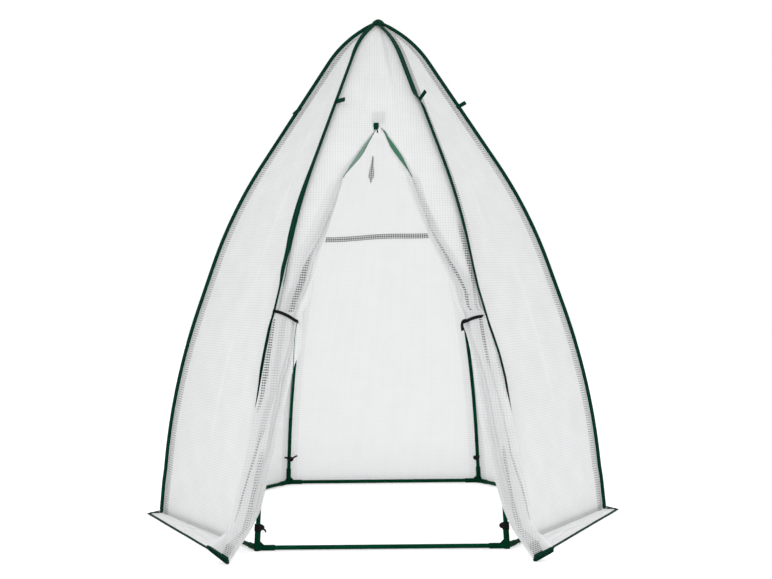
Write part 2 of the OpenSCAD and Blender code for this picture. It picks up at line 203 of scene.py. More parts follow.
def pulled(hand, z):
    """How far sideways a front seam is pulled by the tied-back door, -1 for the left one."""
    heights, left, right = zip(*PULLED)
    return float(np.interp(z, heights, left if hand < 0 else right))


def turned(angle, x, y, z):
    """The point x along and y across a direction that is turned by angle degrees."""
    c, s = math.cos(math.radians(angle)), math.sin(math.radians(angle))
    return Vector((x * c - y * s, x * s + y * c, z))


def cover(panel, side, s, out=0.001):
    """A point of a panel, from seam to seam as side goes from -1 to 1, s metres up."""
    x, z = on_line(s, out + slack(panel, side, s))
    x = max(x, 0.0)
    point = turned(PANELS[panel], x, side * x * TAN30, z)
    hand = hand_of(panel)
    if hand:
        point.x += hand * pulled(hand, z) * smooth((-hand * side - 0.4) / 0.6)
    return point


print("folds of the back panel at mid height:",
      [round(1000 * slack("back", k / 4, 0.9), 1) for k in range(-3, 4)], "mm")

# %% [markdown]
# ## Turning a grid into cloth
# Every soft piece here is a strip or a sheet, so one helper makes them all. It starts from a
# grid, records where each point lies on the flat cloth as a UV map in metres, and then moves the
# point to its place. The UV map is what lets a woven pattern follow a fold. A float attribute
# can go along, to say where the film is doubled.
# %% The cloth helper
WHITE = (0.87, 0.875, 0.88, 1)


def cloth(name, columns, rows, place, flat, values=None):
    """A grid of columns by rows whose points go where place(a, b) says, a and b from 0 to 1."""
    bm = bmesh.new()
    roll = bm.loops.layers.uv.new("roll")
    layers = {bm.verts.layers.float.new(key): rule for key, rule in (values or {}).items()}
    bmesh.ops.create_grid(bm, x_segments=columns, y_segments=rows, size=0.5)
    at = {v: (v.co.x + 0.5, v.co.y + 0.5) for v in bm.verts}
    for face in bm.faces:
        for loop in face.loops:
            loop[roll].uv = flat(*at[loop.vert])
    for v, (a, b) in at.items():
        for layer, rule in layers.items():
            v[layer] = rule(a, b)
        v.co = place(a, b)
    bmesh.ops.remove_doubles(bm, verts=bm.verts, dist=2e-5)
    return settle(name, bm)


def settle(name, bm):
    """Makes a smooth-shaded object of a finished bmesh."""
    mesh = bpy.data.meshes.new(name)
    bm.to_mesh(mesh)
    bm.free()
    mesh.polygons.foreach_set("use_smooth", [True] * len(mesh.polygons))
    piece = bpy.data.objects.new(name, mesh)
    bpy.context.scene.collection.objects.link(piece)
    return piece


def face_out(piece, away=None):
    """Turns an open sheet's faces so that they point away from the axis, or along away."""
    total = 0.0
    for p in piece.data.polygons:
        total += p.area * p.normal.dot(away or Vector((p.center.x, p.center.y, 0.4)))
    if total < 0:
        piece.data.flip_normals()


def thicken(piece, thickness, offset=0.0):
    """Gives a strip its thickness."""
    solid = piece.modifiers.new("thickness", "SOLIDIFY")
    solid.thickness, solid.offset, solid.use_even_offset = thickness, offset, False


def dress(piece, material, slot, *stands_for):
    """Gives a piece its finish, and says what it is fixed to and which hard part it stands for."""
    piece.data.materials.append(material)
    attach(piece, "root")
    if stands_for:
        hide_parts(*stands_for)
    return piece


print("helpers ready")

# %% [markdown]
# ## Finishes
# Colour alone makes everything look like plastic foam. Each finish below adds what the eye
# expects from close by: threads in the film, ribs and stitches in the tape, a fine pebble in the
# powder coat. Effects that several finishes share are small node groups with named inputs.
# %% Group helpers
def new_group(name, numbers, results):
    """A shader group that takes a position and some numbers. Returns it with its two ends."""
    group = bpy.data.node_groups.new(name, "ShaderNodeTree")
    group.interface.new_socket("Position", in_out="INPUT", socket_type="NodeSocketVector")
    for label, value in numbers.items():
        number = group.interface.new_socket(label, in_out="INPUT", socket_type="NodeSocketFloat")
        number.default_value = value
    for label in results:
        group.interface.new_socket(label, in_out="OUTPUT", socket_type="NodeSocketFloat")
    take, give = (group.nodes.new("NodeGroup" + end) for end in ("Input", "Output"))
    return group, take.outputs, give.inputs


def calc(tree, operation, *values):
    """A Math node whose inputs are numbers or other nodes' sockets. Returns its output."""
    node = tree.nodes.new("ShaderNodeMath")
    node.operation = operation
    for k, value in enumerate(values):
        if isinstance(value, bpy.types.NodeSocket):
            tree.links.new(value, node.inputs[k])
        else:
            node.inputs[k].default_value = value
    return node.outputs[0]


def limited(tree, value):
    """A value held between 0 and 1."""
    return calc(tree, "MINIMUM", calc(tree, "MAXIMUM", value, 0.0), 1.0)


def axes_of(tree, where):
    """The separate coordinates of a position."""
    split = tree.nodes.new("ShaderNodeSeparateXYZ")
    tree.links.new(where, split.inputs[0])
    return split.outputs


# %% Shared effects
def thread_group():
    """1 on the threads of a square grid, from a pattern position in metres."""
    g, take, give = new_group("square threads", dict(Pitch=0.01, Thread=0.001, Soft=0.0002),
                              ("Upright", "Level", "Both"))
    half_pitch, half_thread = (calc(g, "MULTIPLY", take[n], 0.5) for n in ("Pitch", "Thread"))
    lines = []
    for along, label in zip(axes_of(g, take["Position"]), ("Upright", "Level")):
        cell = calc(g, "WRAP", along, take["Pitch"], 0.0)
        off = calc(g, "ABSOLUTE", calc(g, "SUBTRACT", cell, half_pitch))
        edge = calc(g, "DIVIDE", calc(g, "SUBTRACT", off, half_thread), take["Soft"])
        lines.append(limited(g, calc(g, "SUBTRACT", 1.0, edge)))
        g.links.new(lines[-1], give[label])
    g.links.new(calc(g, "MAXIMUM", *lines), give["Both"])
    return g


def grain_group():
    """Soft uneven grain, from 0 to 1, for a height or a tone."""
    g, take, give = new_group("uneven grain", dict(Scale=60.0, Detail=3.0), ("Grain",))
    cloud = g.nodes.new("ShaderNodeTexNoise")
    for given, label in (("Position", "Vector"), ("Scale", "Scale"), ("Detail", "Detail")):
        g.links.new(take[given], cloud.inputs[label])
    g.links.new(cloud.outputs["Fac"], give["Grain"])
    return g


def rib_group():
    """Ribs across a tape and two rows of stitches along it, from its flat position in metres."""
    g, take, give = new_group("ribs and stitches", dict(Rib=0.0009, Row=0.006, Stitch=0.0035),
                              ("Ribs", "Stitches"))
    half_row, sewn = 0.0005, 0.74  # half the width of a row, and how much of it is thread
    across, along = axes_of(g, take["Position"])[:2]
    turn = calc(g, "DIVIDE", calc(g, "MULTIPLY", along, 2 * math.pi), take["Rib"])
    g.links.new(calc(g, "MULTIPLY_ADD", calc(g, "SINE", turn), 0.5, 0.5), give["Ribs"])
    off = calc(g, "SUBTRACT", calc(g, "ABSOLUTE", across), take["Row"])
    row = calc(g, "LESS_THAN", calc(g, "ABSOLUTE", off), half_row)
    step = calc(g, "WRAP", along, take["Stitch"], 0.0)
    dash = calc(g, "LESS_THAN", step, calc(g, "MULTIPLY", take["Stitch"], sewn))
    g.links.new(calc(g, "MULTIPLY", row, dash), give["Stitches"])
    return g


THREADS, GRAIN, RIBS = thread_group(), grain_group(), rib_group()
print("groups:", [g.name for g in bpy.data.node_groups])

# %% [markdown]
# ## Helpers for a finish
# A finish starts as a Principled surface. The helpers place a group, mix two colours by a mask,
# and turn a height into a bump, which keeps each finish below to a few lines that say what the
# real material does.
# %% Finish helpers
def finish(name, colour, roughness, **plain):
    """A new material, its tree and its Principled node, with plain sockets set."""
    material = bpy.data.materials.new(name)
    material.use_nodes = True
    tree = material.node_tree
    surface = next(n for n in tree.nodes if n.type == "BSDF_PRINCIPLED")
    surface.inputs["Base Color"].default_value = colour
    surface.inputs["Roughness"].default_value = roughness
    for label, value in plain.items():
        surface.inputs[label.replace("_", " ")].default_value = value
    return material, tree, surface


def position(tree, kind="roll", turn=0.0, shift=(0, 0, 0)):
    """Where a pattern lies: a piece's flat cloth in metres, or its own Object coordinates."""
    if kind == "Object":
        source = tree.nodes.new("ShaderNodeTexCoord").outputs["Object"]
    else:
        node = tree.nodes.new("ShaderNodeUVMap")
        node.uv_map = kind
        source = node.outputs["UV"]
    if not turn and not any(shift):
        return source
    mapping = tree.nodes.new("ShaderNodeMapping")
    mapping.inputs["Rotation"].default_value = (0, 0, turn)
    mapping.inputs["Location"].default_value = shift
    tree.links.new(source, mapping.inputs["Vector"])
    return mapping.outputs["Vector"]


def place_group(tree, group, where, **values):
    """A group in a material, fed with a position and its own values."""
    node = tree.nodes.new("ShaderNodeGroup")
    node.node_tree = group
    tree.links.new(where, node.inputs["Position"])
    for label, value in values.items():
        node.inputs[label].default_value = value
    return node.outputs


def grain(tree, where, scale, detail=3.0):
    """Uneven grain of a scale, ready to use."""
    return place_group(tree, GRAIN, where, Scale=scale, Detail=detail)["Grain"]


def blend(tree, mask, low, high):
    """A colour that goes from low to high as mask goes from 0 to 1."""
    mix = tree.nodes.new("ShaderNodeMix")
    mix.data_type = "RGBA"
    tree.links.new(mask, mix.inputs["Factor"])
    ends = [s for s in mix.inputs if s.type == "RGBA"]
    for socket, value in zip(ends, (low, high)):
        if isinstance(value, bpy.types.NodeSocket):
            tree.links.new(value, socket)
        else:
            socket.default_value = value
    return next(s for s in mix.outputs if s.type == "RGBA")


def spread(tree, value, low, high):
    """A grain from about 0.3 to 0.7 stretched to run from low to high."""
    node = tree.nodes.new("ShaderNodeMapRange")
    ends = {"From Min": 0.3, "From Max": 0.7, "To Min": low, "To Max": high}
    for label, end in ends.items():
        node.inputs[label].default_value = end
    tree.links.new(value, node.inputs["Value"])
    return node.outputs["Result"]


def relief(tree, height, depth, strength, under=None):
    """Normals bumped by a height from 0 to 1 that stands depth metres tall."""
    bump = tree.nodes.new("ShaderNodeBump")
    bump.inputs["Distance"].default_value = depth
    bump.inputs["Strength"].default_value = strength
    tree.links.new(height, bump.inputs["Height"])
    if under is not None:
        tree.links.new(under, bump.inputs["Normal"])
    return bump.outputs["Normal"]


def wear(tree, surface, colour, rough, bump):
    """Links a surface's colour, its roughness as (grain, low, high), and its bump."""
    tree.links.new(colour, surface.inputs["Base Color"])
    tree.links.new(spread(tree, *rough), surface.inputs["Roughness"])
    tree.links.new(relief(tree, *bump), surface.inputs["Normal"])


print("finish helpers ready")

# %% [markdown]
# ## Powder-coated tube and moulded sockets
# The tubes are sprayed with dark green powder and baked, which leaves a faint orange-peel
# texture and an even satin shine. The sockets are injection moulded in a slightly duller green.
# Both are hard parts that already have the right shape, so their finish goes straight into
# their material slots.
# %% Frame finishes
def hard_finish(name, colour, dark, light, cloud, fine, rough, bump, **plain):
    """Two tones in soft clouds under a fine grain that is felt as a bump. Cloud and fine are a
    grain's scale and detail; rough is which of them makes the shine uneven, and how far."""
    which, low, high = rough
    material, tree, surface = finish(name, colour, (low + high) / 2, **plain)
    where = position(tree, "Object")
    grains = dict(cloud=grain(tree, where, *cloud), fine=grain(tree, where, *fine))
    tone = blend(tree, spread(tree, grains["cloud"], 0, 1), dark, light)
    wear(tree, surface, tone, (grains[which], low, high), (grains["fine"], *bump))
    return material


TUBE_COAT = hard_finish(
    "powder coated tube", (0.0006, 0.040, 0.018, 1), (0.0004, 0.034, 0.0145, 1),
    (0.0009, 0.052, 0.022, 1), cloud=(7.0,), fine=(420.0, 2.0), rough=("fine", 0.30, 0.42),
    bump=(0.00025, 0.5), Specular_IOR_Level=0.02)
PLASTIC = hard_finish(
    "moulded green plastic", (0.0006, 0.036, 0.016, 1), (0.0004, 0.030, 0.0125, 1),
    (0.0009, 0.044, 0.019, 1), cloud=(25.0,), fine=(900.0, 1.0), rough=("cloud", 0.44, 0.56),
    bump=(0.0002, 0.6), Specular_IOR_Level=0.02)
# the finish of a hard part, by how its name starts; the ties round the poles are cloth
HARD = {"pole_ties": None, "pole_": TUBE_COAT, "base_tube": TUBE_COAT,
        "corner_joint": PLASTIC, "crown_hub": PLASTIC}
finished = 0
for name, hard in nodes.items():
    coat = next((HARD[start] for start in HARD if name.startswith(start)), None)
    if coat:
        hard.data.materials.clear()
        hard.data.materials.append(coat)
        finished += 1
print("hard parts finished:", finished)

# %% [markdown]
# ## The film
# The cover is milky polyethylene laid over a square net of threads, ten millimetres apart. Light
# comes through it, so the surface is part Principled and part Translucent. Where the film is
# folded double, two nets cross and look darker from afar, as rows of short dashes. Two float
# attributes say where that is: how far inside or outside a doubled band a point lies, and how
# strong the band looks. A third marks the creases, where a painted highlight makes the film's
# colour whiter. One recipe serves every panel, in three tones: the back panel and the layered
# door are painted lighter than the sides, and the back's net fainter, as painted light that
# comes through them.
# %% Film finish
BAND_EDGE = 0.004  # metres over which a doubled band fades out


def grey(value):
    """A nearly neutral tone, a touch cooler than grey."""
    return (value, value + 0.003, value + 0.006, 1)


def attribute(tree, name):
    """A float attribute of the mesh."""
    node = tree.nodes.new("ShaderNodeAttribute")
    node.attribute_name = name
    return node.outputs["Fac"]


def threads(tree, where, pitch, thread, soft):
    """A net of threads, ready to use."""
    return place_group(tree, THREADS, where, Pitch=pitch, Thread=thread, Soft=soft)


def doubled_dashes(tree):
    """1 on the dashes of a doubled band, and 0 away from it."""
    dash = threads(tree, position(tree, turn=0.06, shift=(0.002, 0.004, 0)),
                   0.0094, 0.0034, 0.0010)
    gaps = threads(tree, position(tree, turn=0.06, shift=(0.001, 0, 0)), 0.0080, 0.0042, 0.0014)
    inside = calc(tree, "MULTIPLY_ADD", attribute(tree, "doubled"), -1 / BAND_EDGE, 0.5)
    strong = calc(tree, "MULTIPLY", limited(tree, inside), attribute(tree, "strength"))
    dots = calc(tree, "MULTIPLY", dash["Level"],
                calc(tree, "MULTIPLY_ADD", gaps["Upright"], 0.8, 0.2))
    return calc(tree, "MULTIPLY", strong, calc(tree, "MULTIPLY_ADD", dots, 0.93, 0.07))


def grid_film(name, lines, low, high):
    """A film whose net shows by lines, from 0 to 1, between two tones of milk."""
    material, tree, surface = finish(name, WHITE, 0.42)
    where = position(tree)
    net = threads(tree, where, 0.01, 0.0010, 0.0003)["Both"]
    milk = blend(tree, spread(tree, grain(tree, where, 9.0), 0, 1), grey(low), grey(high))
    # along a crease the film's colour is made whiter: a painted highlight
    milk = blend(tree, attribute(tree, "crease"), milk, (0.97, 0.97, 0.97, 1))
    colour = blend(tree, calc(tree, "MULTIPLY", net, lines), milk, (0.40, 0.41, 0.41, 1))
    colour = blend(tree, doubled_dashes(tree), colour, (0.030, 0.032, 0.034, 1))
    fine = grain(tree, where, 70.0, 4.0)
    crinkle = relief(tree, fine, 0.0012, 0.35)
    wear(tree, surface, colour, (fine, 0.36, 0.5), (net, 0.0003, 0.5, crinkle))
    glow = tree.nodes.new("ShaderNodeBsdfTranslucent")
    tree.links.new(colour, glow.inputs["Color"])
    both = tree.nodes.new("ShaderNodeMixShader")
    both.inputs["Fac"].default_value = 0.5
    for k, shader in enumerate((surface, glow)):
        tree.links.new(shader.outputs[0], both.inputs[k + 1])
    out = next(n for n in tree.nodes if n.type == "OUTPUT_MATERIAL")
    tree.links.new(both.outputs[0], out.inputs["Surface"])
    return material


# three tones of one film: the door's and the back panel's are painted lighter, and the back's net
# fainter, as painted light that comes through them
FILM = grid_film("grid film", 0.30, 0.86, 0.905)
DOOR_FILM_PAINTED_LIGHTER = grid_film("grid film of the door, painted lighter", 0.30, 0.93, 0.97)
BACK_FILM_PAINTED_LIGHTER = grid_film("grid film seen from inside, painted lighter", 0.17, 0.955, 0.98)
print("film:", len(FILM.node_tree.nodes), "nodes")

# %% [markdown]
# ## Tapes, webbing and the zip
# The seams are bound with dark green woven tape, ribbed across and stitched along both edges.
# The straps are charcoal webbing. The zip's tape is thinner and lets a little light through; for
# that light both its halves are painted paler and greyer than the binding, the left one much paler
# than the right, as painted light. They share the ribs, whose grooves are painted darker as painted
# shade, and differ in colour and shine.
# %% Tape finishes
def woven(name, dark, light, thread, roughness, rib=0.0009, row=0.0065, see_through=0.0):
    """A ribbed and stitched tape between two tones, with painted shade in the grooves between its
    ribs.
    """
    material, tree, surface = finish(name, dark, roughness, Specular_IOR_Level=0.06,
                                     Alpha=1 - see_through)
    where = position(tree)
    ribs = place_group(tree, RIBS, where, Rib=rib, Row=row)
    cloud = grain(tree, where, 45.0)
    # the ribs make the colour lighter on their crests and darker in their grooves, painted shade
    # that follows the bump; the grain adds a random tone
    tone = calc(tree, "MULTIPLY_ADD", ribs["Ribs"], 0.45,
                calc(tree, "MULTIPLY", spread(tree, cloud, 0, 1), 0.5))
    colour = blend(tree, ribs["Stitches"], blend(tree, tone, dark, light), thread)
    lift = calc(tree, "MULTIPLY_ADD", ribs["Stitches"], 1.2, ribs["Ribs"])
    wear(tree, surface, colour, (cloud, roughness - 0.08, roughness + 0.08), (lift, 0.0003, 0.7))
    return material


BINDING = woven("green binding tape", (0.0003, 0.022, 0.011, 1), (0.0008, 0.048, 0.025, 1),
                (0.002, 0.080, 0.044, 1), 0.66)
# the same tape in two tones: the left half is painted much paler than the right, as painted light
ZIP_TAPE_WITH_PAINTED_LIGHT = {
    -1: woven("pale green zip tape", (0.19, 0.31, 0.25, 1), (0.27, 0.40, 0.33, 1),
              (0.12, 0.26, 0.19, 1), 0.6, row=0.004, see_through=0.10),
    1: woven("green zip tape", (0.055, 0.19, 0.115, 1), (0.10, 0.26, 0.17, 1),
             (0.03, 0.13, 0.08, 1), 0.6, row=0.004, see_through=0.05),
}
WEBBING = woven("charcoal webbing", (0.004, 0.004, 0.0045, 1), (0.013, 0.013, 0.014, 1),
                (0.03, 0.03, 0.03, 1), 0.7, rib=0.0014, row=0.0045)


def welded_film(name, milk, thread, pitch, width):
    """Film welded over film, where the crossed nets show between two tones."""
    material, tree, surface = finish(name, milk, 0.5)
    where = position(tree)
    net = threads(tree, where, pitch, width, 0.0006)["Both"]
    cloud = grain(tree, where, 120.0)
    dull = tuple(0.8 * c for c in milk[:3]) + (1,)
    colour = blend(tree, net, blend(tree, spread(tree, cloud, 0, 1), milk, dull), thread)
    wear(tree, surface, colour, (cloud, 0.42, 0.58), (net, 0.0003, 0.5))
    return material


# the lap and the tab are painted nearly black: painted shade for the light their extra layers hold
# back
LAP_FILM_WITH_PAINTED_SHADE = welded_film("lapped film with painted shade", (0.045, 0.046, 0.05, 1), (0.80, 0.80, 0.80, 1), 0.01, 0.0028)
PATCH = welded_film("film patch", (0.78, 0.79, 0.79, 1), (0.62, 0.63, 0.63, 1), 0.01, 0.001)
print("materials:", len(bpy.data.materials))

# %% [markdown]
# ## The panels
# Five panels are whole and run from the ground to the tip. The front one is whole only above the
# zip. Each is a single thin sheet, because real film is a tenth of a millimetre thick and light
# has to pass through it once, not twice. The panels on both sides of the door are folded double
# along their seams, which the attribute marks.
# %% Film panels
ZIP_TOP = 1.545  # height of the top of the zip
BANDS = {  # doubled film beside a panel's seams: side, near edge and far edge in metres, strength
    "right": [(-1, 0.016, 0.050, 0.62), (1, 0.016, 0.050, 0.62)],
    "front_left": [(-1, 0.016, 0.050, 0.62), (1, 0.002, 0.005, 0.5)],
    "front_right": [(1, 0.016, 0.050, 0.62), (-1, 0.003, 0.042, 0.95)],
    "front": [], "back": [(-1, 0.018, 0.045, 0.14), (1, 0.018, 0.045, 0.14)],
    "back_left": [(-1, 0.016, 0.050, 0.2), (1, 0.016, 0.050, 0.6)],
    "back_right": [(-1, 0.016, 0.050, 0.6), (1, 0.016, 0.050, 0.2)],
}
LAP = 1.140  # height of the lap across the back panel


def half_width(s):
    """Half the width of a panel, s metres up."""
    return max(on_line(s)[0], 0.0) * TAN30


def in_band(panel, side, s):
    """How far outside a doubled band a point of a panel is, and how strong that band is."""
    nearest, strength = 0.02, 0.0
    for which, near, far, strong in BANDS[panel]:
        off = (1 - which * side) * half_width(s)
        off = abs(off - (near + far) / 2) - (far - near) / 2
        if off < nearest:
            nearest, strength = off, strong
    z = on_line(s)[1]
    if strength > 0.8:  # beside the door it only shows high up
        strength *= smooth((z - 1.0) / 0.3)
    if panel.startswith("front_"):
        strength = min(strength * (1 + 0.5 * smooth((z - 1.45) / 0.2)), 1.0)
    return nearest, strength


def film_panel(panel, low=0.0, columns=96, rows=150):
    """A sheet of film from seam to seam, from low metres up to the tip."""
    tall = TIP - low
    at = lambda a, b: (panel, 2 * a - 1, low + b * tall)
    piece = cloth(
        "film_" + panel, columns, rows, place=lambda a, b: cover(*at(a, b)),
        flat=lambda a, b: ((2 * a - 1) * half_width(low + b * tall), low + b * tall),
        values={
            "doubled": lambda a, b: in_band(*at(a, b))[0],
            "strength": lambda a, b: in_band(*at(a, b))[1],
            # where a painted highlight whitens the film along a crease
            "crease": lambda a, b: 0.5 * on_crease(panel, 2 * a - 1,
                                                   on_line(low + b * tall)[1])[0],
        })
    face_out(piece)
    film = {"back": BACK_FILM_PAINTED_LIGHTER, "front": DOOR_FILM_PAINTED_LIGHTER}.get(panel, FILM)
    dress(piece, film, "grid_film", "wall_" + panel)
    steps = np.linspace(low, TIP, 200)
    area = 2 * sum(half_width(s) for s in steps) * (steps[1] - steps[0])
    2 * half_width(low)
    return piece


for panel in PANELS:
    made = film_panel(panel, low=at_height(ZIP_TOP) if panel == "front" else 0.0)
    print(made.name, len(made.data.polygons), "faces")

# %% [markdown]
# ## The gathered halves of the door
# Below the top of the zip the front panel is split. Each half is still sewn to its seam along
# one side, and is gathered in knife pleats and tied back, so a piece of film nearly half a metre
# wide hangs in a bundle a hand wide. Pleats keep the length of the cloth: going across a row, the
# film runs forward, turns back behind itself, and runs forward again, a layer deeper each time.
# A table of a few heights says how wide and deep the bundle is and how far it stands off, and the
# pleats are fitted to it. Columns of the grid are tied to the folds, so that a fold stays sharp.
# %% Rows of a gathered half
STRAP_HEIGHT = 0.830
STRAP_EDGE = 0.300
PLEATS = 4
EASE = 0.014  # film that always shows between the outer limit and the first fold behind it
# height of the middle, outer limit left and right, inner edge left and right, how far the middle
# stands out, depth of the bundle, and how far it has tipped towards lying down
HANGING = [
    (0.830, 0.383, 0.380, 0.300, 0.301, 0.003, 0.026, 0),
    (0.740, 0.400, 0.401, 0.303, 0.314, 0.012, 0.030, 0),
    (0.640, 0.419, 0.427, 0.314, 0.331, 0.024, 0.034, 0),
    (0.540, 0.436, 0.451, 0.333, 0.341, 0.031, 0.038, 0),
    (0.480, 0.451, 0.464, 0.350, 0.350, 0.033, 0.040, 0),
    (0.440, 0.458, 0.470, 0.362, 0.356, 0.034, 0.042, 0),
    (0.330, 0.479, 0.488, 0.386, 0.380, 0.036, 0.046, 0),
    (0.220, 0.503, 0.511, 0.406, 0.409, 0.040, 0.050, 0),
    (0.150, 0.517, 0.522, 0.425, 0.428, 0.052, 0.048, 10),
    (0.100, 0.527, 0.531, 0.455, 0.450, 0.078, 0.044, 28),
    (0.058, 0.534, 0.538, 0.489, 0.486, 0.122, 0.036, 55),
    (0.030, 0.536, 0.541, 0.506, 0.504, 0.176, 0.028, 75),
    (0.012, 0.539, 0.544, 0.519, 0.515, 0.222, 0.015, 84),
]
# the doorway's edge from the top of the zip at 0 to the strap at 1, and how far the fold of the
# front layer lies back from that edge, both in metres
EDGES = {
    -1: [(0, 0), (0.014, 0.005), (0.047, 0.022), (0.1, 0.051), (0.175, 0.086), (0.243, 0.116),
         (0.283, 0.1305), (0.303, 0.136), (0.407, 0.1565), (0.49, 0.1745), (0.614, 0.199),
         (0.79, 0.237), (0.86, 0.2565), (1, STRAP_EDGE)],
    1: [(0, 0), (0.3, 0.0915), (0.6, 0.1835), (0.8, 0.242), (1, STRAP_EDGE)],
}
FOLDS = {
    -1: [(0, 0.001), (0.35, 0.002), (0.45, 0.004), (0.55, 0.010), (0.62, 0.020), (0.68, 0.030),
         (0.76, 0.031), (0.82, 0.025), (0.93, 0.019), (1, 0.016)],
    1: [(0, 0.002), (0.03, 0.010), (0.1, 0.025), (0.17, 0.036), (0.28, 0.036), (0.4, 0.023),
        (0.5, 0.018), (0.58, 0.013), (0.68, 0.021), (0.76, 0.026), (0.82, 0.029), (0.93, 0.030),
        (1, 0.024)],
}


def along_table(table, t):
    """A value read off a short table of pairs."""
    return float(np.interp(t, *zip(*table)))


def half_rows(hand):
    """Rows down one half of the door: as HANGING, with the flat width of the film added."""
    rows, side, above = [], 1 if hand < 0 else 2, 28  # so many rows above the strap
    for k in range(above):
        t = k / above
        z = ZIP_TOP - (ZIP_TOP - STRAP_HEIGHT) * t
        x = on_line(at_height(z))[0]
        deep = 0.003 + 0.017 * smooth(1.4 * t)
        stand = 0.001 - 0.5 * deep + 0.012 * smooth((t - 0.8) / 0.2)
        rows.append((z, x * TAN30 - 0.004 * smooth((t - 0.85) / 0.15), along_table(EDGES[hand], t),
                     stand, deep, 0.0, along_table(FOLDS[hand], t)))
    for z, *limits, stand, deep, tip in HANGING:
        outer, inner = limits[side - 1], limits[side + 1]
        fold = 0.30 * (outer - inner) * smooth((STRAP_HEIGHT - z) / 0.3) + 0.014
        rows.append((z, outer, inner, stand, deep, math.radians(tip), fold))
    rows = np.array(rows)
    z, stand = rows[:, 0], rows[:, 3]
    x = np.array([on_line(at_height(h))[0] for h in z])
    along = np.concatenate([[0], np.cumsum(np.hypot(np.diff(z), np.diff(x + stand)))])
    return np.column_stack([along, rows, x, x * TAN30])


ROWS = {-1: half_rows(-1), 1: half_rows(1)}
DROP = {hand: rows[-1, 0] for hand, rows in ROWS.items()}
print("each half hangs", [round(d, 3) for d in DROP.values()], "m and is",
      round(ROWS[1][0, 9], 3), "to", round(ROWS[1][-1, 9], 3), "m wide when flat")

# %% [markdown]
# One function now gives any point of a half from a place across its folds and a place down it.
# Across, whole numbers are folds: the stretch before 0 runs from the seam to the outer limit, and
# each later stretch is one layer of a pleat.
# %% Points of a gathered half
def row_at(hand, down):
    """The row of one half that is down metres below the top of the zip, as a dict."""
    values = [float(np.interp(down, ROWS[hand][:, 0], ROWS[hand][:, k])) for k in range(1, 10)]
    row = dict(zip("z outer inner stand deep tip fold face wide".split(), values))
    row["seam"] = row["wide"] + pulled(hand, row["z"])
    row["lead"] = abs(row["outer"] - row["seam"])  # from the seam to the outer limit
    row["span"] = row["outer"] - row["inner"]
    row["hidden"] = max((row["wide"] - row["lead"] - row["span"]) / (2 * PLEATS - 2), 0.0)
    room = max(row["span"] - row["hidden"] - min(EASE, 0.3 * row["span"]), 0.002)
    row["pitch"] = min(row["fold"], room) / (PLEATS - 1)
    row["front"] = row["span"] - row["pitch"] * (PLEATS - 1)  # width of the front layer
    return row


def half_point(hand, fold, down):
    """A point of one half of the door, and its place on the flat film."""
    r, last = row_at(hand, down), 2 * PLEATS - 2
    flat, steep = math.cos(r["tip"]), math.sin(r["tip"])
    layer = min(max(int(math.floor(fold)), -1), last)
    part = fold - layer
    z, out = r["z"], r["stand"]
    if layer < 0:  # from the seam, behind the bundle, to the outer limit
        across, run = (r["outer"] - r["seam"]) * (1 - part), r["lead"] * part
        swing = smooth(part)
        sewn = z if z > 0.2 else 0.045 + (z - 0.014) * 0.155 / 0.186
        z = sewn * (1 - swing) + z * swing
        depth = (last + 0.5) * (1 - smooth((part - 0.55) / 0.45))
        level = (0.5 - depth / last) * r["deep"] * flat
        out = (0.001 - level) * (1 - swing) + out * swing
    else:
        widths = [r["front"]] + [r["hidden"], r["pitch"] + r["hidden"]] * (PLEATS - 1)
        run = r["lead"] + sum(widths[:layer]) + part * widths[layer]
        begin = sum(w if k % 2 == 0 else -w for k, w in enumerate(widths[:layer]))
        across = begin + (part if layer % 2 == 0 else -part) * widths[layer]
        depth = layer - 0.5 * (1 - smooth(part / 0.14)) * (layer > 0)
        depth += 0.5 * smooth((part - 0.86) / 0.14) * (layer < last)
    if layer == last:  # the free edge bulges past the strap
        reach, foot = (0.017, 0.64) if hand < 0 else (0.009, 0.74)
        across += reach * part * smooth((0.96 - z) / 0.08) * smooth((z - foot) / 0.07)
    loose = smooth(3 * down / DROP[hand]) * (1 - 0.8 * math.exp(-abs(r["z"] - STRAP_HEIGHT) / 0.06))
    wave = drift(7 * down, 0.35 * fold + 9 * hand, 2.0)
    sway = drift(3.5 * down, 0.8 * fold, 5.0 + hand)
    ends = smooth((fold + 1) / 1.5)
    across += 0.005 * wave * loose * ends * (0.2 + smooth(fold / 2))
    out += (0.5 - depth / last) * r["deep"] * flat + 0.004 * sway * loose * ends
    z += (0.5 - depth / last) * r["deep"] * steep
    x = r["outer"] - across
    if layer >= 0:  # the outer side of the foot is crumpled up a little
        z += (0.016 * (x - r["inner"]) / r["span"] - 0.006) * steep
    if z < STRAP_HEIGHT + 0.1 and x > r["wide"] - 0.03:  # the film passes in front of the pole
        out = max(out, 0.0008)
    side = min(x / r["wide"], 1.0)
    out += (1 - smooth(4 * down / DROP[hand])) * slack("front", hand * side, at_height(r["z"]))
    return (Vector((hand * x, -(r["face"] + out), max(z, 0.0025))),
            (hand * (r["wide"] - run), at_height(ZIP_TOP) - down))


COLUMNS = [-1 + k / 6 for k in range(6)] + [k / 40 for k in range(40)]
for layer in range(1, 2 * PLEATS - 1):
    COLUMNS += [layer + p for p in (0, 0.05, 0.14, 0.3, 0.5, 0.7, 0.86, 0.95)]
COLUMNS.append(2 * PLEATS - 1)
print(len(COLUMNS), "columns; half way down a row has folds at", [
    round(half_point(1, f, 0.9)[0].x, 3) for f in range(-1, 8)])

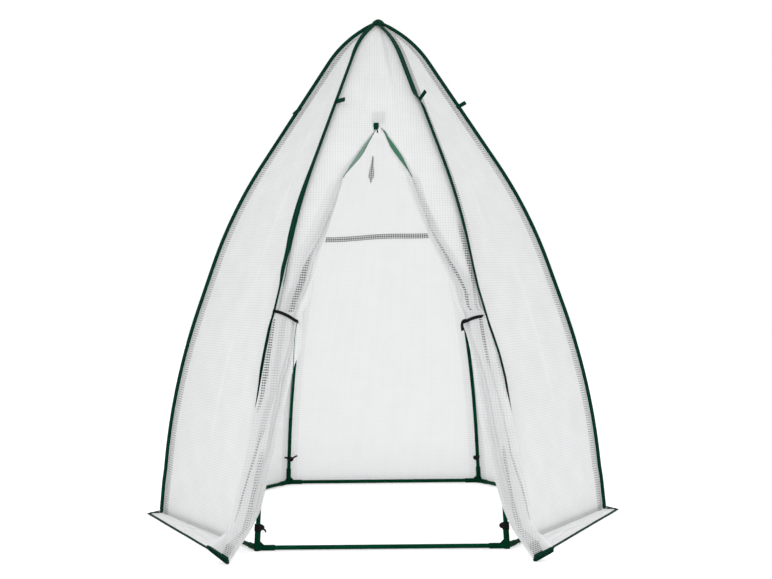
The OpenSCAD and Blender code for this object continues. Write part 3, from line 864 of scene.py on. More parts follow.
# %% [markdown]
# The sheet itself is then a grid like any other. Where layers lie over one another their nets
# cross and look darker from the front. Those bands are given by height, place and width on the
# front layer, measured from its fold above the strap and from the outer limit below it.
# %% The two halves
ABOVE = {  # height, middle and half width of a band back from the fold, strength
    -1: [[(1.36, 0.020, 0.014, 0.0), (1.30, 0.026, 0.024, 0.13), (1.18, 0.030, 0.026, 0.14),
          (1.05, 0.040, 0.018, 0.13), (0.93, 0.036, 0.010, 0.16), (0.84, 0.030, 0.008, 0.2)],
         [(1.36, 0.006, 0.003, 0.0), (1.33, 0.006, 0.004, 0.6), (1.27, 0.005, 0.004, 0.6),
          (1.17, 0.004, 0.004, 0.6), (1.06, 0.004, 0.004, 0.5), (1.03, 0.007, 0.007, 0.9),
          (0.98, 0.012, 0.0125, 1.0), (0.84, 0.014, 0.010, 0.9)]],
    1: [[(1.36, 0.012, 0.010, 0.0), (1.32, 0.014, 0.014, 0.34), (1.20, 0.014, 0.014, 0.34),
         (1.12, 0.022, 0.016, 0.15), (0.9, 0.03, 0.01, 0.0)],
        [(1.36, 0.003, 0.003, 0.0), (1.32, 0.003, 0.004, 0.7), (1.15, 0.003, 0.003, 0.6),
         (1.08, 0.005, 0.005, 0.8), (0.98, 0.011, 0.008, 1.0), (0.90, 0.016, 0.006, 1.0),
         (0.84, 0.020, 0.004, 0.9)]],
}
BELOW = {  # the same, in from the outer limit
    -1: [[(0.82, 0.002, 0.006, 0.9), (0.72, 0.007, 0.008, 1.0), (0.62, 0.013, 0.009, 1.0),
          (0.52, 0.013, 0.006, 0.8), (0.48, 0.012, 0.003, 0.0)],
         [(0.82, 0.039, 0.009, 0.25), (0.565, 0.050, 0.012, 0.22), (0.44, 0.042, 0.011, 0.25),
          (0.38, 0.036, 0.004, 0.7), (0.20, 0.020, 0.0035, 0.8), (0.11, 0.015, 0.003, 0.5),
          (0.10, 0.015, 0.003, 0)],
         [(0.37, 0.058, 0.006, 0.0), (0.33, 0.058, 0.009, 0.5), (0.2, 0.062, 0.011, 0.65),
          (0.08, 0.056, 0.011, 0.55), (0.045, 0.035, 0.02, 0.3), (0.036, 0.026, 0.022, 0.8),
          (0.016, 0.022, 0.022, 0.8)]],
    1: [[(0.82, 0.021, 0.006, 0.9), (0.74, 0.029, 0.005, 0.95), (0.66, 0.036, 0.005, 0.6),
         (0.64, 0.037, 0.003, 0.25), (0.45, 0.032, 0.003, 0.35), (0.34, 0.030, 0.003, 0.65),
         (0.2, 0.016, 0.003, 0.75), (0.1, 0.014, 0.003, 0.4)],
        [(0.70, 0.005, 0.002, 0.0), (0.66, 0.005, 0.003, 0.5), (0.54, 0.005, 0.003, 0.45),
         (0.52, 0.005, 0.002, 0)],
        [(0.38, 0.052, 0.004, 0.0), (0.35, 0.053, 0.005, 0.6), (0.2, 0.062, 0.007, 0.6),
         (0.08, 0.056, 0.010, 0.5), (0.045, 0.035, 0.02, 0.3), (0.036, 0.026, 0.022, 0.8),
         (0.016, 0.022, 0.022, 0.8)]],
}
SEAMSIDE = [  # the same, in from the outer limit above the strap, on the right
    (1.18, 0.014, 0.004, 0.0), (1.13, 0.012, 0.009, 0.8), (1.02, 0.009, 0.009, 1.0),
    (0.96, 0.008, 0.006, 0.9), (0.90, 0.010, 0.004, 0.6), (0.84, 0.014, 0.004, 0.5)]


def band(hand, fold, down):
    """How far outside the nearest band a point of the front layer is, and its strength."""
    r = row_at(hand, down)
    if not 0 <= fold <= 1:
        return 0.02, 0.0
    above = r["z"] > STRAP_HEIGHT
    from_outer = fold * r["front"]
    place = (1 - fold) * r["front"] if above else from_outer
    nearest, strength = 0.02, 0.0
    bands = [(b, place) for b in (ABOVE if above else BELOW)[hand]]
    if above and hand > 0:
        bands.append((SEAMSIDE, from_outer))
    for table, here in bands:
        heights = [-row[0] for row in table]
        if -heights[-1] <= r["z"] <= -heights[0]:
            middle, half, strong = (np.interp(-r["z"], heights, [row[k] for row in table])
                                    for k in (1, 2, 3))
            if abs(here - middle) - half < nearest:
                nearest, strength = abs(here - middle) - half, strong
    return nearest, strength


for hand, word in HANDS.items():
    drop, last = DROP[hand], len(COLUMNS) - 1
    column = lambda a: COLUMNS[round(a * last)]
    at = lambda a, b: (hand, column(a), (1 - b) * drop)
    half = cloth("door_half_" + word, last, 130, place=lambda a, b: half_point(*at(a, b))[0],
                 flat=lambda a, b: half_point(*at(a, b))[1],
                 values={"doubled": lambda a, b: band(*at(a, b))[0],
                         "strength": lambda a, b: band(*at(a, b))[1]})
    soft = half.modifiers.new("soft folds", "SUBSURF")
    soft.levels = soft.render_levels = 1
    face_out(half, Vector((0, -1, 0)))
    dress(half, DOOR_FILM_PAINTED_LIGHTER, "grid_film", "door_flap_" + word)
    print(half.name, len(half.data.polygons), "faces")

# %% [markdown]
# ## Bound seams
# Where two panels meet, their edges are brought together and bound in folded tape, which stands
# off the ridge like a low fin. Seen from the side it shows its whole height. Beside the door the
# pull of the straps lays it over, first one way and then the other, until it shows its edge. At
# the four seams that have a strip of ground flap on both sides, the tape runs on along the floor
# to the flap's tip. It is a narrow strip swept along that line: each row goes from the ridge out
# to the fold of the tape and back, and its lean says which way it lies.
# %% Line of a seam
FIN = 0.015  # how far a bound seam stands out
TAPE = 0.0030  # thickness of the folded tape
LAID = 0.0036  # how much higher the tape lies on the floor
WIDE, NARROW, HEM = 0.150, 0.060, 0.012  # ground flap at the door, elsewhere, and its hem


def tail_of(corner):
    """Length of tape on the floor."""
    return 0.0 if hand_of(corner) else (NARROW - HEM) / COS30 - 0.004


def seam_line(corner, s):
    """A point under a bound seam, s metres up it, or outwards on the floor below nought."""
    x, z = on_line(max(s, 0.0), 0.0022)
    if s < 0:
        return turned(CORNERS[corner], x / COS30 - s, 0, z + LAID)
    point = turned(CORNERS[corner], max(x, 0) / COS30, 0, z + LAID * math.exp(-s / 0.01))
    hand = hand_of(corner)
    if hand:
        point.x += hand * pulled(hand, z)
    return point


def seam_point(corner, s, near=0.006):
    """A point under a seam's tape, and the directions out of it and across it."""
    along = seam_line(corner, s + near) - seam_line(corner, s - near)
    across = turned(CORNERS[corner], 0, 1, 0)
    return seam_line(corner, s), across.cross(along.normalized()), across


def lean_of(corner, s):
    """How far a bound seam lies over, in degrees, positive anticlockwise seen from above."""
    z = on_line(max(s, 0.0))[1]
    if corner == "front_left":
        return (-4 - 42 * smooth((z - 1.8) / 0.12) - 58 * smooth((1.44 - z) / 0.32)
                + 76 * smooth((1.04 - z) / 0.12)
                - 16 * smooth((0.82 - z) / 0.05) * smooth((z - 0.58) / 0.06))
    if corner == "front_right":
        return 2 - 84 * smooth((z - 1.60) / 0.08) - 14 * smooth((1.2 - z) / 0.2)
    wave = 7 * drift(3 * z, CORNERS[corner], 0)
    flat = 66 if corner.endswith("left") else -66
    return wave + flat * smooth((0.004 - s) / 0.020)


print("tails on the floor:", round(tail_of("left"), 3), "m")

# %% Seam tapes
def seam_tape(corner):
    """The folded tape over one seam, from its foot or the flap's tip up to the tent's tip."""
    low, top = -tail_of(corner), tip_of(0.0022) - 0.002

    def place(a, b):
        s = low + b * (top - low)
        z = on_line(max(s, 0.0))[1]
        root, out, across = seam_point(corner, s)
        lean = math.radians(lean_of(corner, s))
        rise = out * math.cos(lean) + across * math.sin(lean)
        flank = across * math.cos(lean) - out * math.sin(lean)
        edge = abs(2 * a - 1)  # 1 at both edges of the tape, 0 at its fold
        high = FIN * (1 - 0.55 * smooth((0.002 - s) / 0.01)) * (1 - edge)
        high *= 1 - 0.25 * smooth((s - top + 0.05) / 0.04)
        if corner == "front_left":  # a slack stretch, twisted so that its face shows
            high *= 1 + 0.35 * smooth((1.40 - z) / 0.25) * smooth((z - 1.02) / 0.10)
        if corner == "front_right":
            high *= 1 + 0.6 * smooth((z - 1.6) / 0.08)
        thick = TAPE / 2 * min(1, (edge / 0.12) ** 0.5) * (1 if a > 0.5 else -1)
        return root + rise * (high - 0.0005) + flank * thick

    piece = cloth("seam_tape_" + corner, 18, 170, place,
                  flat=lambda a, b: ((2 * a - 1) * FIN, b * (top - low)))
    face_out(piece)
    dress(piece, BINDING, "binding_green", "seam_binding_" + corner)
    return piece


for corner in CORNERS:
    made = seam_tape(corner)
print("six bound seams of", len(made.data.polygons), "faces each")

# %% [markdown]
# All six tapes end under a small round cap at the tip, which keeps the rain out of the seams. It
# is a disc, laid out in rings, that follows the slope of the cover.
# %% Cap at the tip
def tip_cap(wide=0.030, out=0.014, crown=0.020, brim=0.006):
    """A domed disc of radius wide, with a brim that dips between the six seams."""
    foot = float(np.interp(-wide, -(LINE[:, 0] + out * LINE[:, 2]), ARC))

    def place(a, b):
        r, turn = wide * b, 2 * math.pi * a
        high = on_line(foot, out)[1] + crown * (1 - b * b) - brim * smooth((b - 0.75) / 0.25)
        high -= 0.002 * b * math.cos(3 * turn + math.pi / 2) ** 2
        return Vector((r * math.cos(turn), r * math.sin(turn), high))

    cap = cloth("tip_cap", 48, 10, place, flat=lambda a, b: (0.033 * b, 0.2 * a))
    face_out(cap, Vector((0, 0, 1)))
    thicken(cap, 0.0016, -1)
    return dress(cap, BINDING, "binding_green")


print(tip_cap().name, "at", round(on_line(tip_of(0.016), 0.016)[1], 3), "m")

# %% [markdown]
# ## The ground flap and its hem
# Under the panels the film turns outwards and lies on the floor as a strip, wider at the two
# corners of the door. It starts exactly at the panels' feet, so it asks the cover where they are.
# A flat strip would look like card. Real film ripples where it turns, so its height adds soft
# waves along the fold that die away towards the hem.
# %% Ground flap
SIDES = ["front_right", "back_right", "back", "back_left", "front_left"]


def flap_reach(c):
    """How far the flap reaches out at its end or corner c."""
    return WIDE if c in (0, 5) else NARROW


def rim(u, inset):
    """The ground flap's outer edge drawn in by inset, as u goes from 0, front right, to 5."""
    k = min(int(u), 4)
    ends = [turned(60 * c - 60, (on_line(0)[0] + flap_reach(c) - inset) / COS30, 0, 0)
            for c in (k, k + 1)]
    return ends[0].lerp(ends[1], u - k)


def flap_point(a, b):
    """A point of the ground flap, a from 0 to 5 along it and b from the panels outwards."""
    k = min(int(a), 4)
    inner = cover(SIDES[k], 2 * (a - k) - 1, 0.0)
    point = inner.lerp(rim(a, HEM / 2), b)
    wander = drift(2.3 * a, 1.2 * b, 7.0)
    waves = 0.5 + 0.5 * math.sin(24 * b + 9 * wander)
    away = smooth(8 * b) * (1 - smooth((b - 0.4) / 0.6))
    lift = drift(6 * a, 2 * b, 3.0) * 0.004 * smooth(4 * b) * (1 - b)
    low = FOOT * (1 - b) + 0.0012 * b  # from the foot of the wall into the hem
    point.z = max(low + 0.0050 * waves * away + lift, 0.0007)
    return point


ground = cloth("ground_flap_film", 300, 24, lambda a, b: flap_point(5 * a, b),
               flat=lambda a, b: (5.1 * a, 0.06 * b),
               values={"doubled": lambda a, b: 1.0})
face_out(ground, Vector((0, 0, 1)))
dress(ground, FILM, "grid_film", "ground_flap")
edge = [rim(k, HEM / 2) for k in range(6)]
inside = [rim(k, flap_reach(k)) for k in range(6)]
run = sum((q - p).length for p, q in zip(edge, edge[1:]))

# %% [markdown]
# ## Bands
# Every tape, strap, loop and patch left to make is the same kind of thing: a flat closed band
# with rounded edges that follows a path. One helper sweeps it. The path says, for any place b
# from 0 to 1, where the middle is, which way is across the band and which way is out of it.
# %% Band helper
def band_piece(name, path, length, width, thickness, rows=24, columns=16):
    """A closed flat band along a path. Width may be a number or a function of b."""
    wide = width if callable(width) else lambda b: width

    def place(a, b):
        middle, across, out = path(b)
        x, half = math.cos(2 * math.pi * a), 1 if a < 0.5 else -1
        swell = math.sqrt(max(1 - abs(x) ** 5, 0)) * half if 0 < b < 1 else 0
        return middle + across * (x * wide(b) / 2) + out * (swell * thickness / 2)

    piece = cloth(name, columns, rows, place, flat=lambda a, b: (
        math.cos(2 * math.pi * a) * wide(b) / 2, b * length))
    bm = bmesh.new()
    bm.from_mesh(piece.data)
    bmesh.ops.recalc_face_normals(bm, faces=bm.faces)
    bm.to_mesh(piece.data)
    bm.free()
    return piece


def route(points, outs):
    """A smooth path through points, with its out direction blended between those given. Returns
    the path and its length."""
    knots = [Vector(p) for p in points]
    knots = [2 * knots[0] - knots[1]] + knots + [2 * knots[-1] - knots[-2]]
    outs, parts = [Vector(o).normalized() for o in outs], len(points) - 1

    def middle(b):
        k = min(int(b * parts), parts - 1)
        t = b * parts - k
        p, q, r, s = knots[k:k + 4]
        return 0.5 * (2 * q + (r - p) * t + (2 * p - 5 * q + 4 * r - s) * t * t
                      + (3 * q - p - 3 * r + s) * t ** 3)

    def path(b):
        k = min(int(b * parts), parts - 1)
        along = (middle(min(b + 0.01, 1)) - middle(max(b - 0.01, 0))).normalized()
        out = outs[k].lerp(outs[k + 1], b * parts - k)
        out = (out - along * out.dot(along)).normalized()
        return middle(b), along.cross(out), out

    steps = [middle(k / 100) for k in range(101)]
    return path, sum((q - p).length for p, q in zip(steps, steps[1:]))


def join(name, parts):
    """Several pieces made one."""
    bm = bmesh.new()
    for part in parts:
        bm.from_mesh(part.data)
        bpy.data.objects.remove(part)
    return settle(name, bm)


print("band helpers ready")

# %% [markdown]
# The hem is the simplest band: it follows the flap's outer edge with a little wander, because a
# hem that is sewn to soft film never lies quite straight.
# %% Hem of the ground flap
def hem_path(b):
    u = 5 * b
    wander = drift(3.1 * u, 0, 1.0)
    across = (rim(u, 0) - rim(u, HEM)) / HEM
    lift = 0.0016 + 0.0012 * (1 + drift(5 * u, 4.0, 0))
    return rim(u, HEM / 2 + 0.0015 * (1 + wander)) + Vector((0, 0, lift)), across, Vector((0, 0, 1))


hem = band_piece("ground_hem", hem_path, run, HEM, 0.0036, rows=250, columns=12)
dress(hem, BINDING, "binding_green", "hem_binding")
print("hem:", round(run, 2), "m long")


def door_hem(hand, word):
    """The hem on the bottom edge of a gathered half, which follows its pleats."""
    last, drop = len(COLUMNS) - 1, DROP[hand]
    edge = cloth("door_hem_" + word, last, 3,
                 place=lambda a, b: half_point(hand, COLUMNS[round(a * last)],
                                               drop - 0.014 + 0.0145 * (1 - b))[0],
                 flat=lambda a, b: (a * 0.5, b * 0.013 - 0.0065))
    face_out(edge, Vector((0, -1, 0)))
    thicken(edge, 0.0022, 0)
    return dress(edge, BINDING, "binding_green")


for hand, word in HANDS.items():
    print(door_hem(hand, word).name)

# %% [markdown]
# ## Straps
# Each half of the door is held by a strap of narrow charcoal webbing. It is sewn into the seam,
# crosses the front of the bundle with a little droop, goes round the bundle's inner edge and
# comes back behind it. On the right its free end hangs down beside the doorway.
# %% Tie-back straps
def on_face(x, z, out):
    """A point x to the side on the door's panel at a height, out in front of the film."""
    return Vector((x, -(on_line(at_height(z))[0] + out), z))


LIFT = {-1: 0.010, 1: 0.001}  # the left strap sits a little higher


def strap(hand, word):
    """A strap round one half: the way round it, and on the right a free end."""
    spots = [(0.389, 0.836, 0.0045), (0.378, 0.8345, 0.0135), (0.360, 0.830, 0.0205),
             (0.336, 0.820, 0.0218), (0.313, 0.806, 0.0195), (0.2985, 0.797, 0.010),
             (0.2970, 0.796, -0.003), (0.308, 0.800, -0.0125), (0.335, 0.812, -0.0155),
             (0.360, 0.824, -0.0155)]
    ways = [(0.3, -1), (0.4, -1), (0.1, -1), (0, -1), (-0.3, -1), (-1, -0.5), (-1, 0.3),
            (-0.5, 1), (0, 1), (0, 1)]
    droop = 0.20 if hand > 0 else 0.0  # the right one is sewn in a little lower
    spots = [(x, z + LIFT[hand] - droop * max(x - 0.3, 0), out) for x, z, out in spots]
    path, length = route([on_face(hand * x, z, out) for x, z, out in spots],
                         [(hand * x, y, 0.1) for x, y in ways])
    band = [band_piece("strap", path, length, 0.0115, 0.0018, rows=60)]
    if hand > 0:
        spots = [(0.312, 0.806, 0.0222), (0.299, 0.801, 0.018), (0.2955, 0.788, 0.0165),
                 (0.2975, 0.768, 0.0185)]
        end, more = route([on_face(x, z + LIFT[hand], out) for x, z, out in spots],
                          [(0, -1, 0), (-0.7, -0.7, 0), (-0.5, -0.9, 0), (-0.2, -1, 0)])
        band.append(band_piece("end", end, more, 0.0115, 0.0018, rows=24))
        length += more
    piece = join("tie_" + word, band)
    dress(piece, WEBBING, "strap_black", "tie_strap_" + word)
    return piece, length


for hand, word in HANDS.items():
    made, length = strap(hand, word)
    print(made.name, round(length, 3), "m of webbing")

# %% [markdown]
# ## The zip
# The two rows of the zip part at its top and lie behind the edges of the doorway, and for the
# first third they show past the film, tape and teeth. The top of the zip is closed by a folded
# bit of tape with a tail, and a square of film is welded over it on the inside.
# %% Zip tapes and teeth
SHOW = {  # how wide the tape shows past the fold, from the top of the zip down
    -1: [(0.02, 0.001), (0.051, 0.004), (0.091, 0.010), (0.121, 0.015), (0.16, 0.019),
         (0.19, 0.019), (0.23, 0.013), (0.259, 0.007), (0.285, 0.001)],
    1: [(0.02, 0.001), (0.051, 0.005), (0.091, 0.014), (0.121, 0.020), (0.16, 0.021),
        (0.2, 0.016), (0.24, 0.008), (0.28, 0.001)],
}
TEETH = woven("zip teeth", (0.02, 0.09, 0.055, 1), (0.10, 0.24, 0.17, 1), (0.03, 0.1, 0.06, 1),
              0.4, rib=0.0016, row=0.01)
FALL = at_height(ZIP_TOP) - at_height(STRAP_HEIGHT)  # from the top of the zip to the strap


def zip_row(hand, word):
    """One half of the zip: its tape, and the row of teeth on the tape's free edge."""
    show = SHOW[hand]
    down = lambda b: 0.015 + 0.285 * b  # the part of the fall that a place b stands for
    facing = Vector((0, -1, 0.3)).normalized()

    def spot(b, past):
        """Past is how far the point lies outwards from the tape's free edge."""
        fold = half_point(hand, 1.0, down(b) * FALL)[0]
        return fold + Vector((hand * (past - along_table(show, down(b))), 0.0006, 0))

    def tape_path(b):
        wide = 0.006 + along_table(show, down(b))
        return spot(b, wide / 2), Vector((wide / 0.026, 0, 0)), facing

    def teeth_path(b):
        return spot(b, 0.0012) + Vector((0, -0.0008, 0)), Vector((1, 0, 0)), facing

    def free_path(b):
        """The rest of the row, which hangs free below the strap."""
        z = 0.797 + LIFT[-1] - 0.335 * b
        x = 0.2995 + 0.021 * b ** 0.8 + 0.0015 * math.sin(9 * b)
        out = along_table([(0, 0.014), (0.18, 0.034), (0.48, 0.048), (0.79, 0.057), (1, 0.060)], b)
        return on_face(hand * x, z, out), Vector((1, 0, 0)), Vector((0, -1, 0.1)).normalized()

    tape = band_piece("zip_tape_" + word, tape_path, 0.24, 0.026, 0.0008, rows=60, columns=12)
    dress(tape, ZIP_TAPE_WITH_PAINTED_LIGHT[hand], "zip_green", "zip_tapes")
    parts = [band_piece("teeth", teeth_path, 0.24, 0.0026, 0.0020, rows=60, columns=12)]
    if hand < 0:
        parts.append(band_piece("free", free_path, 0.33, 0.0028, 0.0018, rows=50, columns=12))
    dress(join("zip_teeth_" + word, parts), TEETH, "zip_green")
    return tape


for hand, word in HANDS.items():
    print(zip_row(hand, word).name)

# %% Top stop and patch
def on_front(x, z, out):
    """A point on the whole part of the front panel."""
    s = at_height(z)
    return cover("front", x / half_width(s), s, out)


def flat_path(panel_point, x, low, high, out, lean=0.0):
    """A straight path up a panel, from low to high, and its length."""
    def path(b):
        z = low + (high - low) * b
        up = (panel_point(x, z + 0.004, out) - panel_point(x, z - 0.004, out)).normalized()
        across = Vector((1, 0, 0))
        return panel_point(x + lean * b, z, out), across, across.cross(up)
    return path, (panel_point(x, high, out) - panel_point(x, low, out)).length


path, length = flat_path(on_front, -0.010, ZIP_TOP - 0.012, ZIP_TOP + 0.013, 0.0045)
stop = band_piece("stop", path, length, lambda b: 0.018 + 0.003 * math.sin(3 * b), 0.005, 10)
front = on_front(-0.010, ZIP_TOP - 0.006, 0.003)
tails = []
for x, long in ((-0.0045, 0.012), (0.003, 0.017)):
    path, more = route([front + Vector((x, 0, 0)), front + Vector((1.3 * x, -0.003, -long / 2)),
                        front + Vector((1.9 * x, -0.002, -long - 0.004))],
                       [(0.2, -1, 0.2), (0.3, -1, 0.1), (0.4, -1, 0)])
    tails.append(band_piece("tail", path, more, 0.0055, 0.0018, 10, 10))
stop = join("zip_top_stop", [stop] + tails)
dress(stop, BINDING, "binding_green", "zip_stop")

path, length = flat_path(on_front, 0, ZIP_TOP + 0.008, ZIP_TOP + 0.058, -0.0006)
patch = band_piece("zip_top_patch", path, length, 0.052, 0.0008, 12, 20)
dress(patch, PATCH, "lap_film", "zip_patch")
print(stop.name, patch.name)

# %% [markdown]
# ## Lap seam and tab on the back panel
# The back panel is made of two lengths of film, welded in a narrow lap where four nets cross. Above
# it a tab of the same film hangs from the panel. Both are painted nearly black, as painted shade
# for the light that their extra layers of film hold back.
# %% Lap and tab
def on_back(x, z, out):
    """A point on the back panel, x metres to the right as seen from the door."""
    s = at_height(z)
    return cover("back", -x / half_width(s), s, out)


LAP_REACH = half_width(at_height(LAP)) - 0.018  # from the panel's middle to the lap's end


def lap_path(b):
    """Across the panel, a little higher to the right, in a slight wave."""
    side = 2 * b - 1
    z = LAP + 0.009 * side - 0.003 * math.sin(3 * math.pi * b)
    return (on_back(side * LAP_REACH, z, -0.0010),
            Vector((0, 0.25, -1)).normalized(), Vector((0, -1, -0.25)).normalized())


def tab_width(b):
    """Nothing at its low end, widest a third of the way up, and 6 mm at the top."""
    return (0.032 - 0.026 * b) * smooth(b / 0.35 + 0.05)


lap_run = 2 * LAP_REACH
lap = band_piece("rear_lap", lap_path, lap_run, 0.022, 0.0010, 60)
dress(lap, LAP_FILM_WITH_PAINTED_SHADE, "lap_film", "rear_lap_seam")
path, length = flat_path(on_back, -0.043, 1.374, 1.488, -0.0032, lean=0.012)
tab = band_piece("rear_hanging_tab", path, length, tab_width, 0.0010, 40)
dress(tab, LAP_FILM_WITH_PAINTED_SHADE, "lap_film", "rear_tab")
print(lap.name, tab.name)

# %% [markdown]
# ## Guy loops
# High on each seam a short loop of binding tape is sewn in, for a guy line. A loop is a strip
# that goes out, turns and comes back, so the path does just that, a few millimetres apart, and
# each loop points its own way as soft ones do.
# %% Six loops
LOOP_STOP = 3 + 14 + 1 + 14  # the station at the top of the pole's second bend
TURNS = dict(  # how far each loop points up, to the side, and rolled over, in degrees
    right=(30, 10, 78), back_right=(20, -15, -60), back_left=(20, 15, 60),
    left=(-42, -10, -70), front_left=(4, 70, 82), front_right=(44, 18, 84))


def guy_loop(corner):
    """One loop, and the length of its tape."""
    up, sideways, roll = TURNS[corner]
    x, z, lean = STOPS[LOOP_STOP][:3]
    sine, cosine = math.sin(lean), math.cos(lean)
    clear = (TUBE + GAP + 0.0036) * math.hypot(cosine, sine * COS30) / COS30
    out, far = clear + 0.003, 0.268 if corner == "front_left" else 0.278
    root = turned(CORNERS[corner], x - far * sine + out * cosine, 0,
                  z + far * cosine + out * sine)
    turn = CORNERS[corner] + sideways
    ahead = turned(turn, math.cos(math.radians(up)), 0, math.sin(math.radians(up)))
    above = turned(turn, -math.sin(math.radians(up)), 0, math.cos(math.radians(up)))
    above = Matrix.Rotation(math.radians(roll), 3, ahead) @ above
    reach = dict(front_left=0.054, front_right=0.040).get(corner, 0.037)
    steps = [(-0.006, 0.0010), (0.3 * reach, 0.0013), (0.7 * reach, 0.0015), (0.94 * reach, 0.0015),
             (reach, 0), (0.94 * reach, -0.0015), (0.7 * reach, -0.0015), (0.3 * reach, -0.0013),
             (-0.006, -0.0010)]
    curl = 0.006 * drift(CORNERS[corner], 0, 0)
    points = [root + ahead * a + above * (b + curl * (a / 0.05) ** 2) for a, b in steps]
    outs = [above] * 3 + [above + ahead * 0.4, ahead, ahead * 0.4 - above] + [-above] * 3
    path, length = route(points, outs)
    return band_piece("loop", path, length, 0.0160, 0.0014, rows=40, columns=12), length


loops = []
for corner in CORNERS:
    made, length = guy_loop(corner)
    loops.append(made)
loops = join("guy_loop_tapes", loops)
dress(loops, BINDING, "binding_green", "guy_loops")
print("six loops, each of", round(length, 3), "m of tape")

# %% [markdown]
# ## Ties round the feet of the poles
# Inside the tent the cover is tied to each pole just above the ground, with a thin black tape
# that goes round the tube and ends in a knot with two loose tails.
# %% Pole ties
TAILS = {  # how each tail leaves its knot: sideways, upwards, length
    "back_left": [(-1, 0.45, 0.036), (1, 0.55, 0.038)],
    "back_right": [(-0.5, -0.5, 0.012), (0.6, -0.3, 0.012)],
    "front_left": [(0.45, -1, 0.050), (-0.8, -0.5, 0.024)],
    "front_right": [(-0.8, 0.2, 0.012), (0.5, -0.8, 0.014)],
    "left": [(-0.6, -1, 0.034), (0.6, -0.9, 0.028)],
    "right": [(-0.6, -0.9, 0.028), (0.5, -1, 0.034)],
}


def pole_tie(corner):
    """A ring of tape round a pole, a knot on its inner side, and two tails."""
    angle = CORNERS[corner]
    up = turned(angle, -math.sin(LEAN), 0, math.cos(LEAN))
    outward = turned(angle, math.cos(LEAN), 0, math.sin(LEAN))
    aside = turned(angle, 0, 1, 0)
    front = corner.startswith("front")  # these go round the socket, in two turns
    middle = turned(angle, RING, 0, SOCKET) + up * (0.070 if front else 0.111)
    core = SOCKET if front else TUBE

    def ring(b):
        away = -outward * math.cos(2 * math.pi * b) + aside * math.sin(2 * math.pi * b)
        lift = up * (0.0012 * math.sin(4 * math.pi * b))
        return middle + away * (core + 0.0012) + lift, up, away

    parts = [band_piece("ring", ring, 0.058, 0.026 if front else 0.010, 0.0016, 40, 10)]
    root = middle - outward * (core + 0.005)
    path, more = route([root - aside * 0.011, root - outward * 0.004, root + aside * 0.011],
                       [-outward] * 3)
    parts.append(band_piece("knot", path, more, lambda b: 0.012 + 0.010 * math.sin(math.pi * b),
                            0.014, rows=16, columns=14))
    view_side = 1 if corner in ("back_left", "left", "front_left") else -1
    for side, rise, long in TAILS[corner]:
        go = (aside * -view_side * side + up * rise).normalized()
        path, more = route([root, root + go * 0.35 * long - outward * 0.006,
                            root + go * 0.7 * long - outward * 0.008,
                            root + go * long - outward * 0.005 - up * 0.12 * long],
                           [-outward, up * 0.4 - outward, -outward, -outward])
        parts.append(band_piece("tail", path, more, 0.0075, 0.0015, rows=24, columns=10))
    return parts


ties = join("pole_tie_tapes", [part for corner in CORNERS for part in pole_tie(corner)])
dress(ties, WEBBING, "strap_black", "pole_ties")

# %% [markdown]
# ## Eyelets
# At the two front corners of the ground flap a pressed metal eyelet takes a peg. A small round
# section spun once about the hole's axis makes it.
# %% Eyelets
def eyelet(name, x, y):
    """A pressed ring, standing at x and y on the flap."""
    bm = bmesh.new()
    bmesh.ops.create_circle(bm, segments=12, radius=0.0016)
    bmesh.ops.transform(bm, matrix=Matrix.Translation((0.0062, 0, 0)) @ Matrix.Rotation(
        math.pi / 2, 4, "X"), verts=bm.verts)
    bmesh.ops.spin(bm, geom=bm.verts[:] + bm.edges[:], axis=(0, 0, 1), cent=(0, 0, 0),
                   angle=2 * math.pi, steps=36, use_merge=True)
    bmesh.ops.remove_doubles(bm, verts=bm.verts, dist=1e-6)
    bmesh.ops.recalc_face_normals(bm, faces=bm.faces)
    bmesh.ops.translate(bm, verts=bm.verts, vec=(x, y, 0.0042))
    piece = settle(name, bm)
    return dress(piece, EYELET, "strap_black")


EYELET = hard_finish("dark pressed metal", (0.10, 0.09, 0.085, 1), (0.05, 0.045, 0.04, 1),
                     (0.14, 0.13, 0.12, 1), cloud=(900.0,), fine=(900.0,),
                     rough=("fine", 0.3, 0.5), bump=(0.0002, 0.4), Metallic=0.8)
for word, x, y in (("left", -0.592, -0.735), ("right", 0.574, -0.772)):
    print(eyelet("eyelet_" + word, x, y).name)

# %% [markdown]
# ## Floor, light and camera
# The tent stands on a plain pale floor in an even white studio. White film on white needs gentle
# light: one large lamp high on the left and in front gives the panels their slight differences,
# and the surroundings fill the rest. The lamps stay low enough that the film doesn't burn out.
# The background is white only where the camera, a reflection or clear material looks at it, so it
# adds no light to the tent.
# %% Floor
def looked_at(tree):
    """1 where the camera, a reflection or clear material looks, and 0 for plain light."""
    rays = tree.nodes.new("ShaderNodeLightPath").outputs
    through = calc(tree, "MAXIMUM", rays["Is Glossy Ray"], rays["Is Transmission Ray"])
    return calc(tree, "MAXIMUM", rays["Is Camera Ray"], through)


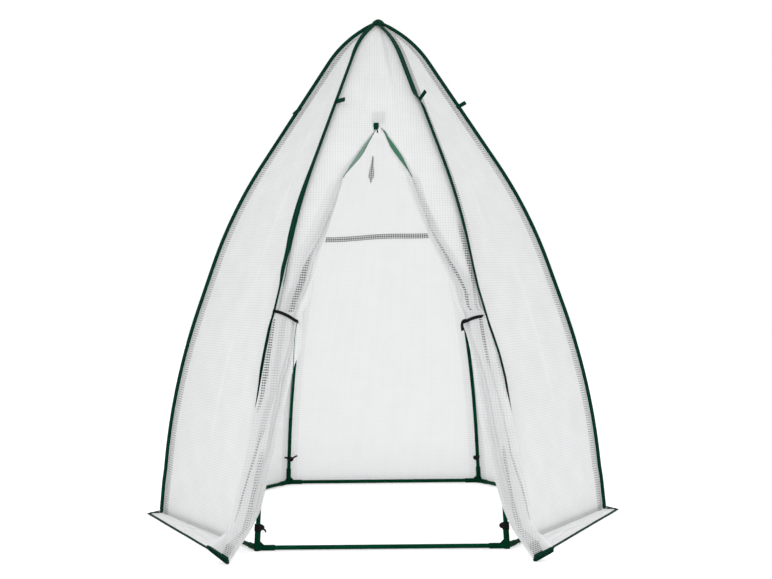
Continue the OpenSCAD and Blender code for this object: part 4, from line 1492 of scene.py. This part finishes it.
def studio_floor():
    """A pale floor that looks white and still holds the tent's shadow."""
    bm = bmesh.new()
    bmesh.ops.create_grid(bm, x_segments=2, y_segments=2, size=14)
    floor = settle("studio_floor", bm)
    material, tree, surface = finish("studio floor", (0.86, 0.86, 0.86, 1), 0.9,
                                     Specular_IOR_Level=0.1)
    glow = tree.nodes.new("ShaderNodeEmission")
    tree.links.new(calc(tree, "MULTIPLY", looked_at(tree), 0.42), glow.inputs["Strength"])
    add = tree.nodes.new("ShaderNodeAddShader")
    tree.links.new(surface.outputs[0], add.inputs[0])
    tree.links.new(glow.outputs[0], add.inputs[1])
    out = next(n for n in tree.nodes if n.type == "OUTPUT_MATERIAL")
    tree.links.new(add.outputs[0], out.inputs["Surface"])
    floor.data.materials.append(material)
    return floor


print(studio_floor().name)

# %% World and lamps
def studio_world(strength):
    """White to the camera, and a plain fill of the given strength to everything else."""
    world = bpy.data.worlds.new("studio")
    bpy.context.scene.world = world
    world.use_nodes = True
    tree = world.node_tree
    back = next(n for n in tree.nodes if n.type == "BACKGROUND")
    back.inputs["Color"].default_value = (1, 1, 1, 1)
    tree.links.new(calc(tree, "MULTIPLY_ADD", looked_at(tree), 1 - strength, strength),
                   back.inputs["Strength"])


def lamp(name, place, aim, size, power):
    """A square area lamp at place, turned towards aim."""
    data = bpy.data.lights.new(name, "AREA")
    data.size, data.energy = size, power
    light = bpy.data.objects.new(name, data)
    light.location = place
    light.rotation_euler = (Vector(aim) - Vector(place)).to_track_quat("-Z", "Y").to_euler()
    bpy.context.scene.collection.objects.link(light)
    return light


studio_world(0.93)
lamp("key", (-3.2, -5.0, 4.2), (0, 0, 0.9), 3.0, 48)
lamp("side", (4.5, -1.5, 3.0), (0, 0, 0.9), 3.0, 32)
print("two lamps and a fill")

# %% Camera
PAN, TILT, ROLL = 0.104, -0.737, -0.55  # degrees, from a level view straight at the door
view = bpy.data.cameras.new("camera")
view.lens, view.sensor_width = 64.51, 36.0
camera = bpy.data.objects.new("camera", view)
camera.location = (0.0317, -5.654, 0.984)
turns = [Matrix.Rotation(math.radians(a), 3, axis)
         for a, axis in ((PAN, "Z"), (90 + TILT, "X"), (ROLL, "Z"))]
camera.rotation_euler = (turns[0] @ turns[1] @ turns[2]).to_euler()
bpy.context.scene.collection.objects.link(camera)
bpy.context.scene.camera = camera
bpy.context.scene.view_settings.view_transform = "Standard"
print("camera", round((camera.location - Vector((0, 0, 0.984))).length, 2), "m from the axis")
